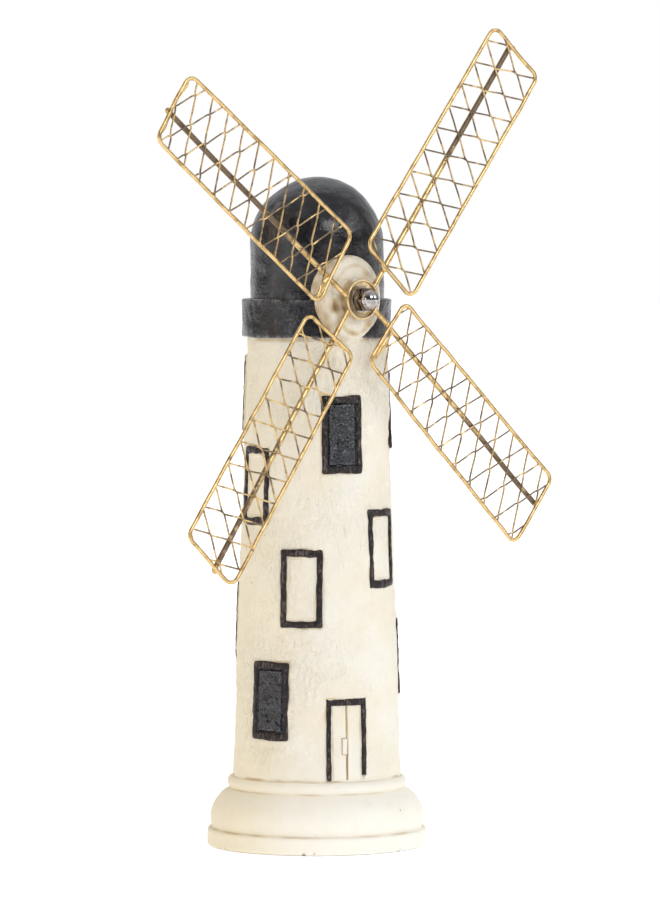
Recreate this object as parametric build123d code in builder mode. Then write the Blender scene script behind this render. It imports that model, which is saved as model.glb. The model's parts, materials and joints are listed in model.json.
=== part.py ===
from build123d import *
import math
import os

os.makedirs("parts", exist_ok=True)

# Windmill figurine. Millimetres. +Z is up, the origin is the centre of the plinth's underside
# and the sails face -Y. Distances called "reach" are measured from the tower axis towards -Y.

# Plinth
RIM_RADIUS = 39.9
RIM_HEIGHT = 6.4
RIM_EDGE = 1.2
SWELL_FOOT_RADIUS = 38.4
SWELL_MIDDLE = (37.7, 14.8)
SHOULDER_RADIUS = 31.7
SHOULDER_HEIGHT = 20.9
ROLL_RADIUS = 32.5
ROLL_HEIGHT = 23.1
PLINTH_TOP_RADIUS = 31.1
PLINTH_HEIGHT = 25.2

# Tower, a plain taper with a spigot that the cap sits on
TOWER_FOOT_RADIUS = 30.2
TOWER_HEAD_RADIUS = 25.1
TOWER_TOP = 183.2
SPIGOT_RADIUS = 21.0
SPIGOT_TOP = 190.0

# Cap: dome with a straight skirt, and a raised band round its foot
DOME_RADIUS = 24.4
DOME_SPRING = 216.5
BAND_RADIUS = 27.2
BAND_TOP = 197.0
BAND_EDGE = 0.5

# Shaft boss, an oval button let into the front of the cap
SHAFT_X = -4.5
SHAFT_Z = 197.0
BOSS_HALF_WIDTH = 13.0
BOSS_HALF_HEIGHT = 15.8
BOSS_BACK_REACH = 16.0
BOSS_FACE_REACH = 28.2
BOSS_EDGE = 2.4
NOSE_RADIUS = 6.0
NOSE_HEIGHT = 0.5

# Shaft screw and what is stacked on it
SCREW_DIAMETER = 5.0
SCREW_HEAD_DIAMETER = 8.5
SCREW_HEAD_BACK_REACH = 9.0
SCREW_HEAD_HEIGHT = 3.0
SCREW_TIP_REACH = 34.6
BACK_WASHER_DIAMETER = 9.4
WASHER_THICKNESS = 0.5
END_FLOAT = 0.1
HUB_RADIUS = 7.3
HUB_INNER_RADIUS = 6.2
HUB_FLOOR = 1.2
HUB_DEPTH = 2.6
HUB_RUNNING_CLEARANCE = 0.06
FRONT_WASHER_DIAMETER = 9.2
NUT_ACROSS_FLATS = 8.0
NUT_HEX_HEIGHT = 3.6
NUT_CHAMFER = 0.5
NUT_DOME_RADIUS = 3.65
NUT_DOME_RISE = 0.4
NUT_BORE_MARGIN = 0.8

# Sails: a spar behind, a rounded wire frame soldered on it and a lattice inside the frame. Each sail is laid
# out in its own plane: "along" runs out from the shaft parallel to the spar and "side" is square to it.
# They are bent and soldered by hand, so no two are alike. The four corners go round from the inner low
# side, and each weave is one family of lattice wires: where its first wire meets the low rail and the
# high rail, and how far apart its wires are.
SAILS = {
    "upper_right": {
        "angle": 53.5,
        "spar_side": -2.1,
        "corners": ((13.0, -17.6), (113.3, -18.3), (115.5, 9.4), (16.3, 10.3)),
        "weaves": ((33.4, 19.9, 9.87), (3.9, 20.1, 9.84)),
    },
    "upper_left": {
        "angle": 141.0,
        "spar_side": 3.2,
        "corners": ((18.8, -15.0), (110.2, -12.2), (107.2, 14.6), (14.9, 14.1)),
        "weaves": ((23.8, 37.9, 9.65), (20.6, 6.8, 8.53)),
    },
    "lower_left": {
        "angle": 236.1,
        "spar_side": -2.7,
        "corners": ((17.5, -18.5), (111.7, -20.3), (116.2, 6.6), (19.0, 7.2)),
        "weaves": ((26.4, 17.7, 9.09), (23.4, 43.3, 9.56)),
    },
    "lower_right": {
        "angle": 316.6,
        "spar_side": 1.7,
        "corners": ((16.7, -14.4), (113.3, -16.4), (110.7, 13.2), (14.4, 12.5)),
        "weaves": ((24.4, 36.6, 9.36), (25.7, 9.1, 9.46)),
    },
}
SAIL_CORNER = 3.4
SPAR_DIAMETER = 2.0
SPAR_OVERRUN = 0.5
FRAME_WIRE = 1.5
SOLDER_BITE = 0.05
LATTICE_WIRE = 0.6
LATTICE_SPREAD = 0.2
LATTICE_SHORTEST = 3.0
LATTICE_STEPS = range(-3, 14)

# Windows, let into the tower wall and following its curve
WINDOW_WIDTH = 15.2
WINDOW_HEIGHT = 28.0
FRAME_STILE = 2.1
FRAME_RAIL = 2.6
FRAME_CORNER = 0.8
SEAT_DEPTH = 0.5
FRAME_PROUD = 0.7
PANE_PROUD = -0.1
SHUTTER_PROUD = 0.25
WALL_REACH = 45.0

# Each window: bearing in degrees from the front towards +X, height of its middle, black shutter or not
WINDOWS = {
    "front_upper": (-18.6, 148.9, True),
    "front_right": (18.8, 107.9, False),
    "front_left": (-50.6, 94.1, False),
    "left_lower": (-74.4, 53.9, True),
    "left_middle": (-95.0, 130.3, False),
    "right_upper": (60.0, 157.0, False),
    "right_lower": (62.5, 68.3, True),
    "rear_left_upper": (-145.0, 163.0, True),
    "rear_left_lower": (-141.0, 81.5, False),
    "rear_middle": (178.0, 118.0, False),
    "rear_right_upper": (96.0, 128.0, True),
    "rear_right_lower": (122.0, 64.0, False),
}

# Door
DOOR_BEARING = -17.9
DOOR_TOP = 55.1
DOOR_JAMB = 1.8
DOOR_LINTEL = 2.6
DOOR_SEAM = 0.3
LATCH_WIDTH = 1.7
LATCH_HEIGHT = 6.0
LATCH_MIDDLE = 38.0
LATCH_PROUD = 0.5
LATCH_SIDE = -0.4


def wall_radius(height):
    """Outer radius of the tower wall at a height."""
    share = (height - PLINTH_HEIGHT) / (TOWER_TOP - PLINTH_HEIGHT)
    return TOWER_FOOT_RADIUS + share * (TOWER_HEAD_RADIUS - TOWER_FOOT_RADIUS)


def wall_plane(bearing, height):
    """Upright plane through the tower axis that looks out along a bearing."""
    turn = math.radians(bearing)
    return Plane(
        origin=(0, 0, height),
        x_dir=(math.cos(turn), math.sin(turn), 0),
        z_dir=(math.sin(turn), -math.cos(turn), 0),
    )


def shaft_plane(reach):
    """Plane square to the shaft at a distance in front of the tower axis."""
    return Plane(origin=(SHAFT_X, -reach, SHAFT_Z), x_dir=(1, 0, 0), z_dir=(0, -1, 0))


def sail_plane(angle, reach):
    """Plane of one sail: local X runs out along the sail, local Y across it."""
    turn = math.radians(angle)
    return Plane(
        origin=(SHAFT_X, -reach, SHAFT_Z),
        x_dir=(math.cos(turn), 0, math.sin(turn)),
        z_dir=(0, -1, 0),
    )


def wall_piece(bearing, low, high, width, inner, outer, opening=None, side=0.0, corner=0.0):
    """A curved plate between two offsets of the tower wall, with an optional opening.

    opening is (stile, lower rail, upper rail); side shifts the plate along the wall.
    """
    middle = (low + high) / 2
    with BuildPart() as piece:
        with BuildSketch(Plane.XZ):
            with BuildLine():
                Polyline(
                    (wall_radius(0) + inner, 0),
                    (wall_radius(0) + outer, 0),
                    (wall_radius(TOWER_TOP) + outer, TOWER_TOP),
                    (wall_radius(TOWER_TOP) + inner, TOWER_TOP),
                    close=True,
                )
            make_face()
        revolve(axis=Axis.Z)
        with BuildSketch(wall_plane(bearing, middle)) as outline:
            with Locations((side, 0)):
                Rectangle(width, high - low)
            if corner:
                fillet(outline.vertices(), corner)
            if opening:
                stile, lower, upper = opening
                with Locations((side, (lower - upper) / 2)):
                    Rectangle(width - 2 * stile, high - low - lower - upper, mode=Mode.SUBTRACT)
        extrude(amount=WALL_REACH, mode=Mode.INTERSECT)
    return piece.part


def clip_to_corners(start, end, corners):
    """The part of a straight wire inside a four-sided frame, or None where too little of it is."""
    low, high = 0.0, 1.0
    run = (end[0] - start[0], end[1] - start[1])
    for here, there in zip(corners, corners[1:] + corners[:1]):
        inward = (here[1] - there[1], there[0] - here[0])
        inside = inward[0] * (start[0] - here[0]) + inward[1] * (start[1] - here[1])
        gain = inward[0] * run[0] + inward[1] * run[1]
        if gain > 0:
            low = max(low, -inside / gain)
        else:
            high = min(high, -inside / gain)
    if (high - low) * math.hypot(*run) < LATTICE_SHORTEST:
        return None
    return [(start[0] + share * run[0], start[1] + share * run[1]) for share in (low, high)]


def lattice_wires(sail):
    """Ends of every lattice wire of a sail in its own plane, clipped to the frame's centre line."""
    inner_low, outer_low, outer_high, inner_high = sail["corners"]
    low_slope = (outer_low[1] - inner_low[1]) / (outer_low[0] - inner_low[0])
    high_slope = (outer_high[1] - inner_high[1]) / (outer_high[0] - inner_high[0])
    wires = []
    for lift, (low_first, high_first, pitch) in zip((-LATTICE_SPREAD, LATTICE_SPREAD), sail["weaves"]):
        for step in LATTICE_STEPS:
            low_end = low_first + step * pitch
            high_end = high_first + step * pitch
            start = (low_end, inner_low[1] + low_slope * (low_end - inner_low[0]))
            end = (high_end, inner_high[1] + high_slope * (high_end - inner_high[0]))
            clipped = clip_to_corners(start, end, sail["corners"])
            if clipped:
                wires.append((clipped[0], clipped[1], lift))
    return wires


# --- Plinth -------------------------------------------------------------------------------
with BuildPart() as plinth:
    with BuildSketch(Plane.XZ):
        with BuildLine():
            Polyline(
                (0, PLINTH_HEIGHT),
                (0, 0),
                (RIM_RADIUS - RIM_EDGE / 2, 0),
                (RIM_RADIUS, RIM_EDGE),
                (RIM_RADIUS, RIM_HEIGHT - RIM_EDGE),
            )
            ThreePointArc(
                (RIM_RADIUS, RIM_HEIGHT - RIM_EDGE),
                (RIM_RADIUS - RIM_EDGE * 0.3, RIM_HEIGHT - RIM_EDGE * 0.3),
                (SWELL_FOOT_RADIUS, RIM_HEIGHT),
            )
            ThreePointArc((SWELL_FOOT_RADIUS, RIM_HEIGHT), SWELL_MIDDLE, (SHOULDER_RADIUS, SHOULDER_HEIGHT))
            ThreePointArc(
                (SHOULDER_RADIUS, SHOULDER_HEIGHT),
                (ROLL_RADIUS, ROLL_HEIGHT),
                (PLINTH_TOP_RADIUS, PLINTH_HEIGHT),
            )
            Line((PLINTH_TOP_RADIUS, PLINTH_HEIGHT), (0, PLINTH_HEIGHT))
        make_face()
    revolve(axis=Axis.Z)

# --- Tower with the seats of its windows and door --------------------------------------------
with BuildPart() as tower:
    with BuildSketch(Plane.XZ):
        with BuildLine():
            Polyline(
                (0, PLINTH_HEIGHT),
                (TOWER_FOOT_RADIUS, PLINTH_HEIGHT),
                (TOWER_HEAD_RADIUS, TOWER_TOP),
                (SPIGOT_RADIUS, TOWER_TOP),
                (SPIGOT_RADIUS, SPIGOT_TOP),
                (0, SPIGOT_TOP),
                close=True,
            )
        make_face()
    revolve(axis=Axis.Z)
    for window_bearing, window_middle, _ in WINDOWS.values():
        add(
            wall_piece(
                window_bearing,
                window_middle - WINDOW_HEIGHT / 2,
                window_middle + WINDOW_HEIGHT / 2,
                WINDOW_WIDTH,
                -SEAT_DEPTH,
                FRAME_PROUD,
                corner=FRAME_CORNER,
            ),
            mode=Mode.SUBTRACT,
        )
    add(
        wall_piece(DOOR_BEARING, PLINTH_HEIGHT, DOOR_TOP, WINDOW_WIDTH, -SEAT_DEPTH, FRAME_PROUD),
        mode=Mode.SUBTRACT,
    )
    with BuildSketch(shaft_plane(BOSS_BACK_REACH)):
        Ellipse(BOSS_HALF_WIDTH, BOSS_HALF_HEIGHT)
    extrude(amount=WALL_REACH, mode=Mode.SUBTRACT)

# --- Cap dome -------------------------------------------------------------------------------
with BuildPart() as cap_dome:
    with BuildSketch(Plane.XZ):
        with BuildLine():
            Polyline(
                (0, DOME_SPRING + DOME_RADIUS),
                (0, SPIGOT_TOP),
                (SPIGOT_RADIUS, SPIGOT_TOP),
                (SPIGOT_RADIUS, TOWER_TOP),
                (DOME_RADIUS, TOWER_TOP),
                (DOME_RADIUS, DOME_SPRING),
            )
            CenterArc((0, DOME_SPRING), DOME_RADIUS, 0, 90)
        make_face()
    revolve(axis=Axis.Z)
    with BuildSketch(shaft_plane(BOSS_BACK_REACH)):
        Ellipse(BOSS_HALF_WIDTH, BOSS_HALF_HEIGHT)
    extrude(amount=WALL_REACH, mode=Mode.SUBTRACT)
    with BuildSketch(shaft_plane(SCREW_HEAD_BACK_REACH)):
        Circle(SCREW_HEAD_DIAMETER / 2)
    extrude(amount=SCREW_HEAD_HEIGHT, mode=Mode.SUBTRACT)
    with BuildSketch(shaft_plane(SCREW_HEAD_BACK_REACH)):
        Circle(SCREW_DIAMETER / 2)
    extrude(amount=WALL_REACH, mode=Mode.SUBTRACT)

# --- Cap band -------------------------------------------------------------------------------
with BuildPart() as cap_band:
    with BuildSketch(Plane.XZ):
        with BuildLine():
            Polyline(
                (DOME_RADIUS, TOWER_TOP),
                (BAND_RADIUS - BAND_EDGE, TOWER_TOP),
                (BAND_RADIUS, TOWER_TOP + BAND_EDGE),
                (BAND_RADIUS, BAND_TOP - BAND_EDGE),
                (BAND_RADIUS - BAND_EDGE, BAND_TOP),
                (DOME_RADIUS, BAND_TOP),
                close=True,
            )
        make_face()
    revolve(axis=Axis.Z)
    with BuildSketch(shaft_plane(BOSS_BACK_REACH)):
        Ellipse(BOSS_HALF_WIDTH, BOSS_HALF_HEIGHT)
    extrude(amount=WALL_REACH, mode=Mode.SUBTRACT)

# --- Shaft boss -----------------------------------------------------------------------------
nose_reach = BOSS_FACE_REACH + NOSE_HEIGHT
with BuildPart() as shaft_boss:
    with BuildSketch(shaft_plane(BOSS_BACK_REACH)):
        Ellipse(BOSS_HALF_WIDTH, BOSS_HALF_HEIGHT)
    extrude(amount=BOSS_FACE_REACH - BOSS_BACK_REACH)
    fillet(shaft_boss.edges().sort_by(Axis.Y)[0], BOSS_EDGE)
    with BuildSketch(shaft_plane(BOSS_FACE_REACH)):
        Circle(NOSE_RADIUS)
    extrude(amount=NOSE_HEIGHT)
    with BuildSketch(shaft_plane(BOSS_BACK_REACH)):
        Circle(SCREW_DIAMETER / 2)
    extrude(amount=WALL_REACH, mode=Mode.SUBTRACT)

# --- Shaft screw, cast into the cap with its head behind the boss --------------------------------
with BuildPart() as shaft_screw:
    with BuildSketch(shaft_plane(SCREW_HEAD_BACK_REACH)):
        Circle(SCREW_HEAD_DIAMETER / 2)
    extrude(amount=SCREW_HEAD_HEIGHT)
    with BuildSketch(shaft_plane(SCREW_HEAD_BACK_REACH + SCREW_HEAD_HEIGHT)):
        Circle(SCREW_DIAMETER / 2)
    extrude(amount=SCREW_TIP_REACH - SCREW_HEAD_BACK_REACH - SCREW_HEAD_HEIGHT)

# --- Back washer, between the boss and the turning hub --------------------------------------------
with BuildPart() as back_washer:
    with BuildSketch(shaft_plane(nose_reach)):
        Circle(BACK_WASHER_DIAMETER / 2)
        Circle(SCREW_DIAMETER / 2, mode=Mode.SUBTRACT)
    extrude(amount=WASHER_THICKNESS)

# --- Hub, a shallow gilt cup that carries the four spars -------------------------------------------
hub_reach = nose_reach + WASHER_THICKNESS + END_FLOAT
with BuildPart() as hub_cup:
    with BuildSketch(shaft_plane(hub_reach)):
        Circle(HUB_RADIUS)
    extrude(amount=HUB_DEPTH)
    with BuildSketch(shaft_plane(hub_reach + HUB_FLOOR)):
        Circle(HUB_INNER_RADIUS)
    extrude(amount=HUB_DEPTH, mode=Mode.SUBTRACT)
    with BuildSketch(shaft_plane(hub_reach)):
        Circle(SCREW_DIAMETER / 2 + HUB_RUNNING_CLEARANCE)
    extrude(amount=HUB_DEPTH, mode=Mode.SUBTRACT)

# --- Front washer, under the nut inside the cup ------------------------------------------------------
front_washer_reach = hub_reach + HUB_FLOOR + END_FLOAT
with BuildPart() as front_washer:
    with BuildSketch(shaft_plane(front_washer_reach)):
        Circle(FRONT_WASHER_DIAMETER / 2)
        Circle(SCREW_DIAMETER / 2, mode=Mode.SUBTRACT)
    extrude(amount=WASHER_THICKNESS)

# --- Acorn nut: chamfered hexagon with a domed end and a blind bore ------------------------------------
nut_reach = front_washer_reach + WASHER_THICKNESS
dome_reach = nut_reach + NUT_HEX_HEIGHT + NUT_DOME_RISE
nut_corner_radius = NUT_ACROSS_FLATS / math.sqrt(3)
with BuildPart() as acorn_nut:
    with BuildSketch(shaft_plane(nut_reach)):
        RegularPolygon(nut_corner_radius, 6, rotation=30)
    extrude(amount=NUT_HEX_HEIGHT)
    with BuildSketch(shaft_plane(nut_reach)):
        Circle(nut_corner_radius)
    extrude(amount=NUT_HEX_HEIGHT, taper=0, mode=Mode.INTERSECT)
    with BuildSketch(shaft_plane(nut_reach)):
        Circle(nut_corner_radius + NUT_HEX_HEIGHT - NUT_CHAMFER)
    extrude(amount=NUT_HEX_HEIGHT, taper=45, mode=Mode.INTERSECT)
    with BuildSketch(shaft_plane(nut_reach + NUT_HEX_HEIGHT)):
        Circle(NUT_DOME_RADIUS)
    extrude(amount=NUT_DOME_RISE)
    with Locations(shaft_plane(dome_reach).location):
        Sphere(NUT_DOME_RADIUS)
    with BuildSketch(shaft_plane(nut_reach)):
        Circle(SCREW_DIAMETER / 2)
    extrude(amount=SCREW_TIP_REACH + NUT_BORE_MARGIN - nut_reach, mode=Mode.SUBTRACT)

# --- Door -------------------------------------------------------------------------------------
door_inside = WINDOW_WIDTH - 2 * DOOR_JAMB
leaf_width = (door_inside - DOOR_SEAM) / 2
leaf_top = DOOR_TOP - DOOR_LINTEL
leaf_side = (leaf_width + DOOR_SEAM) / 2
door_frame = wall_piece(
    DOOR_BEARING,
    PLINTH_HEIGHT,
    DOOR_TOP,
    WINDOW_WIDTH,
    -SEAT_DEPTH,
    FRAME_PROUD,
    opening=(DOOR_JAMB, 0, DOOR_LINTEL),
)
door_leaf_left = wall_piece(
    DOOR_BEARING, PLINTH_HEIGHT, leaf_top, leaf_width, -SEAT_DEPTH, PANE_PROUD, side=-leaf_side
)
door_leaf_right = wall_piece(
    DOOR_BEARING, PLINTH_HEIGHT, leaf_top, leaf_width, -SEAT_DEPTH, PANE_PROUD, side=leaf_side
)
door_latch = wall_piece(
    DOOR_BEARING,
    LATCH_MIDDLE - LATCH_HEIGHT / 2,
    LATCH_MIDDLE + LATCH_HEIGHT / 2,
    LATCH_WIDTH,
    PANE_PROUD,
    LATCH_PROUD,
    side=LATCH_SIDE - LATCH_WIDTH / 2,
)

pieces = {
    "plinth": plinth.part,
    "tower": tower.part,
    "cap_dome": cap_dome.part,
    "cap_band": cap_band.part,
    "shaft_boss": shaft_boss.part,
    "shaft_screw": shaft_screw.part,
    "back_washer": back_washer.part,
    "hub_cup": hub_cup.part,
    "front_washer": front_washer.part,
    "acorn_nut": acorn_nut.part,
    "door_frame": door_frame,
    "door_leaf_left": door_leaf_left,
    "door_leaf_right": door_leaf_right,
    "door_latch": door_latch,
}

# --- Windows: a black frame round a cream pane or a black shutter ---------------------------------
for name, (bearing, middle, shuttered) in WINDOWS.items():
    low = middle - WINDOW_HEIGHT / 2
    high = middle + WINDOW_HEIGHT / 2
    pieces[name + "_window_frame"] = wall_piece(
        bearing,
        low,
        high,
        WINDOW_WIDTH,
        -SEAT_DEPTH,
        FRAME_PROUD,
        opening=(FRAME_STILE, FRAME_RAIL, FRAME_RAIL),
        corner=FRAME_CORNER,
    )
    pieces[name + ("_shutter" if shuttered else "_pane")] = wall_piece(
        bearing,
        low + FRAME_RAIL,
        high - FRAME_RAIL,
        WINDOW_WIDTH - 2 * FRAME_STILE,
        -SEAT_DEPTH,
        SHUTTER_PROUD if shuttered else PANE_PROUD,
    )

# --- Sails ------------------------------------------------------------------------------------
spar_reach = hub_reach + SPAR_DIAMETER / 2
frame_reach = spar_reach + (SPAR_DIAMETER + FRAME_WIRE) / 2 - SOLDER_BITE
for name, sail in SAILS.items():
    angle = sail["angle"]
    inner_low, outer_low, outer_high, inner_high = sail["corners"]
    outer_slope = (outer_high[0] - outer_low[0]) / (outer_high[1] - outer_low[1])
    spar_end = outer_low[0] + outer_slope * (sail["spar_side"] - outer_low[1]) + SPAR_OVERRUN
    with BuildPart() as sail_spar:
        spar_root = sail_plane(angle, spar_reach)
        spar_start = spar_root.from_local_coords(Vector(0, sail["spar_side"], 0))
        with BuildSketch(Plane(origin=spar_start, z_dir=spar_root.x_dir)):
            Circle(SPAR_DIAMETER / 2)
        extrude(amount=spar_end)
        with BuildSketch(shaft_plane(hub_reach - SPAR_DIAMETER)):
            Circle(HUB_RADIUS)
        extrude(amount=HUB_DEPTH + 2 * SPAR_DIAMETER, mode=Mode.SUBTRACT)
    pieces["sail_spar_" + name] = sail_spar.part

    with BuildPart() as sail_frame:
        with BuildLine(sail_plane(angle, frame_reach)) as frame_loop:
            Polyline(*sail["corners"], close=True)
            fillet(frame_loop.vertices(), SAIL_CORNER)
        with BuildSketch(Plane(origin=frame_loop.wire() @ 0, z_dir=frame_loop.wire() % 0)):
            Circle(FRAME_WIRE / 2)
        sweep(path=frame_loop.wire())
    pieces["sail_frame_" + name] = sail_frame.part

    with BuildPart() as sail_lattice:
        for start, end, lift in lattice_wires(sail):
            plane = sail_plane(angle, frame_reach + lift)
            foot = plane.from_local_coords(Vector(*start, 0))
            tip = plane.from_local_coords(Vector(*end, 0))
            with BuildSketch(Plane(origin=foot, z_dir=tip - foot)):
                Circle(LATTICE_WIRE / 2)
            extrude(amount=(tip - foot).length)
        add(sail_frame.part, mode=Mode.SUBTRACT)
    pieces["sail_lattice_" + name] = sail_lattice.part

for name, part in pieces.items():
    part.label = name
    export_step(part, "parts/" + name + ".step")
    print(name, len(part.solids()), round(part.volume, 1))
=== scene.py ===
# %% [markdown]
# # A resin windmill with gilt wire sails
# A souvenir figurine: a cream tower cast in resin on a round plinth, a charcoal cap, painted
# windows and a door, and four wire sails that turn on a screw under a chrome acorn nut.
# The measured model comes in first and stays as it is. Each cell below then makes one piece or
# one finish that takes its place and size from that model.

# %% Load the measured frame
import json
import math

import bmesh
import bpy
import numpy as np
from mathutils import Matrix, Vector


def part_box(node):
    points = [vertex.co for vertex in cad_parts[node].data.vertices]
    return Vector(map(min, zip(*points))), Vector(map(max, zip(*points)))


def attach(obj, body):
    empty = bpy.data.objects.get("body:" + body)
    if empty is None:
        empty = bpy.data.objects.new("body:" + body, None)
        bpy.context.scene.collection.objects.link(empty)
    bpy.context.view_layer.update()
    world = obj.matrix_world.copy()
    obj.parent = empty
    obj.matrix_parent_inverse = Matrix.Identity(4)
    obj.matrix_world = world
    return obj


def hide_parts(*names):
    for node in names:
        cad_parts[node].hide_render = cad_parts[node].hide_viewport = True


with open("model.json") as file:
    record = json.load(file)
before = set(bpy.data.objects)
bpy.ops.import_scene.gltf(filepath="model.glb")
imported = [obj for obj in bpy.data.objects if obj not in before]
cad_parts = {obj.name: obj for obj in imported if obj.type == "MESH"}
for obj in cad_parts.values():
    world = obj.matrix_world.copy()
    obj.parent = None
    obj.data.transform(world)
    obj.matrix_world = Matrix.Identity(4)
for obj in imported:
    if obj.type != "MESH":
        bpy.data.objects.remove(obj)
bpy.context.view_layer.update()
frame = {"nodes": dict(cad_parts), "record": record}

# %% [markdown]
# ## Sizes that everything shares
# The model is in metres, but a figurine is easier to think about in millimetres, so lengths are
# written in millimetres and turned into metres when a mesh is made. The heights and radii are read
# from the boxes of the measured nodes, which keeps every new surface in step with them.

# %% Heights and radii read from the model
MM = 0.001


def box_mm(node):
    """Lowest and highest corner of a measured node, in millimetres."""
    low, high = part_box(node)
    return np.array(low) / MM, np.array(high) / MM


def node_points(node):
    """Every vertex of a measured node as an array of points, in millimetres."""
    mesh = frame["nodes"][node].data
    flat = np.zeros(len(mesh.vertices) * 3, np.float32)
    mesh.vertices.foreach_get("co", flat)
    return flat.reshape(-1, 3).astype(float) / MM


PLINTH_RADIUS = box_mm("plinth")[1][0]
PLINTH_TOP = box_mm("plinth")[1][2]
TOWER_FOOT = box_mm("tower")[1][0]
BAND_LOW, BAND_HIGH = box_mm("cap_band")[0][2], box_mm("cap_band")[1][2]
BAND_RADIUS = box_mm("cap_band")[1][0]
DOME_TOP = box_mm("cap_dome")[1][2]
DOME_RADIUS = box_mm("cap_dome")[1][0]
DOME_SPRING = DOME_TOP - DOME_RADIUS
# The wall's head is hidden in the cap, so no box shows its radius.
TOWER_HEAD = 25.1
SHAFT = np.array(frame["record"]["behaviour"]["joints"][0]["pos_m"]) / MM
SHAFT_X, SHAFT_Z = SHAFT[0], SHAFT[2]
print("plinth", PLINTH_RADIUS, PLINTH_TOP, "tower foot", TOWER_FOOT, "band", BAND_LOW, BAND_HIGH, BAND_RADIUS)
print("dome springs at", DOME_SPRING, "top", DOME_TOP, "shaft", SHAFT)


def wall_radius(height):
    """Radius of the tapering wall at a height: a straight line from the foot's radius to the head's."""
    share = (height - PLINTH_TOP) / (BAND_LOW - PLINTH_TOP)
    return TOWER_FOOT + share * (TOWER_HEAD - TOWER_FOOT)


# %% [markdown]
# ## Camera
# The view is from about two metres through a long lens, which keeps the tower's sides nearly
# parallel. The camera stands well to the left of the shaft, above the middle of the figure, and
# looks slightly down.

# %% Camera
CAMERA_AZIMUTH = math.radians(-39.0)
CAMERA_DISTANCE = 1.908
CAMERA_HEIGHT = 0.225
CAMERA_LENS = 212.0
AIM_HEIGHT = 0.1424
AIM_RIGHT = 0.0047
camera = bpy.data.objects.new("camera", bpy.data.cameras.new("camera"))
camera.data.lens = CAMERA_LENS
camera.data.sensor_width = 36.0
back = Vector((math.sin(CAMERA_AZIMUTH), -math.cos(CAMERA_AZIMUTH), 0.0))
right = Vector((math.cos(CAMERA_AZIMUTH), math.sin(CAMERA_AZIMUTH), 0.0))
camera.location = back * CAMERA_DISTANCE + Vector((0, 0, CAMERA_HEIGHT))
aim = right * AIM_RIGHT + Vector((0, 0, AIM_HEIGHT))
camera.rotation_mode = "QUATERNION"
camera.rotation_quaternion = (aim - camera.location).to_track_quat("-Z", "Y")
bpy.context.scene.collection.objects.link(camera)
bpy.context.scene.camera = camera
print("camera at", [round(v, 3) for v in camera.location])

# %% [markdown]
# ## Surfaces from arrays
# Every new piece is a sheet of points worked out with numpy. A sheet has rows and columns, may close
# on itself in either direction, and its open ends are drawn together to a middle point, so no hole is
# left. One function turns such a sheet into a mesh.

# %% From a sheet of points to an object
def sheet_faces(rows, columns, wrap_rows, wrap_columns, first=0):
    """Quads between neighbouring points of a sheet, wrapped round where the sheet closes."""
    index = np.arange(rows * columns).reshape(rows, columns) + first
    if wrap_rows:
        index = np.vstack([index, index[:1]])
    if wrap_columns:
        index = np.hstack([index, index[:, :1]])
    quads = np.stack([index[:-1, :-1], index[:-1, 1:], index[1:, 1:], index[1:, :-1]], axis=-1)
    return quads.reshape(-1, 4)


def fan_faces(ring, middle):
    """Triangles from a closed ring of point numbers to one middle point."""
    following = np.roll(ring, -1)
    return np.stack([ring, following, np.full_like(ring, middle)], axis=-1)


class Shell:
    """Collects sheets of points, each with values for named attributes, and makes one object of them."""

    def __init__(self):
        self.points, self.quads, self.fans, self.values, self.count = [], [], [], {}, 0

    def _add_points(self, points, values):
        """Adds points, each with a value for every attribute named so far: 0 where none is given."""
        self.points.append(points.reshape(-1, 3))
        for key in set(self.values) | set(values):
            kept = self.values.setdefault(key, [np.zeros(self.count)])
            given = values.get(key, 0.0)
            kept.append(np.broadcast_to(given, points.shape[:-1]).reshape(-1))
        self.count += points.reshape(-1, 3).shape[0]

    def add(self, sheet, wrap_rows=False, wrap_columns=True, ends=(0, 1), **values):
        """Adds a (rows, columns, 3) sheet; if only its columns wrap, its end rows close on their middles."""
        rows, columns = sheet.shape[:2]
        first = self.count
        self._add_points(sheet, values)
        self.quads.append(sheet_faces(rows, columns, wrap_rows, wrap_columns, first))
        if wrap_columns and not wrap_rows:
            for end in ends:
                row = (0, rows - 1)[end]
                ring = first + row * columns + np.arange(columns)
                middle = self.count
                shares = {k: np.mean(np.broadcast_to(v, sheet.shape[:2])[row]) for k, v in values.items()}
                self._add_points(sheet[row].mean(axis=0)[None, :], shares)
                self.fans.append(fan_faces(ring, middle)[:, :: (-1, 1)[end]])

    def build(self, name, material, sharp=40.0, join=False):
        """Makes the mesh, joins points that coincide if asked, turns its faces outwards and smooths it."""
        points = np.concatenate(self.points) * MM
        faces = [f.tolist() for f in (np.concatenate(self.quads), *self.fans)]
        mesh = bpy.data.meshes.new(name)
        mesh.from_pydata(points.tolist(), [], [face for group in faces for face in group])
        for key, parts in self.values.items():
            layer = mesh.attributes.new(key, "FLOAT", "POINT")
            layer.data.foreach_set("value", np.concatenate(parts).astype(np.float32))
        mesh.update()
        tidy = bmesh.new()
        tidy.from_mesh(mesh)
        if join:
            bmesh.ops.remove_doubles(tidy, verts=tidy.verts, dist=1e-7)
        bmesh.ops.recalc_face_normals(tidy, faces=tidy.faces)
        tidy.to_mesh(mesh)
        tidy.free()
        mesh.shade_smooth()
        mesh.set_sharp_from_angle(angle=math.radians(sharp))
        mesh.materials.append(material)
        piece = bpy.data.objects.new(name, mesh)
        bpy.context.scene.collection.objects.link(piece)
        print(name, len(mesh.vertices), "points", len(mesh.polygons), "faces")
        return piece


def place(piece, body, slot, *nodes):
    """The piece stands for some measured nodes, which it hides, and moves with a body; its slot is not used.
    """
    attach(piece, body)
    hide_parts(*nodes)


# %% [markdown]
# ## Unevenness made by hand
# A resin cast from a hand-cut mould and painted by hand is never quite straight. A sum of sine waves
# that run in random directions gives a smooth unevenness. It is worked out from the place of a point
# in space, so it has no seam where a round piece closes on itself.

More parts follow.
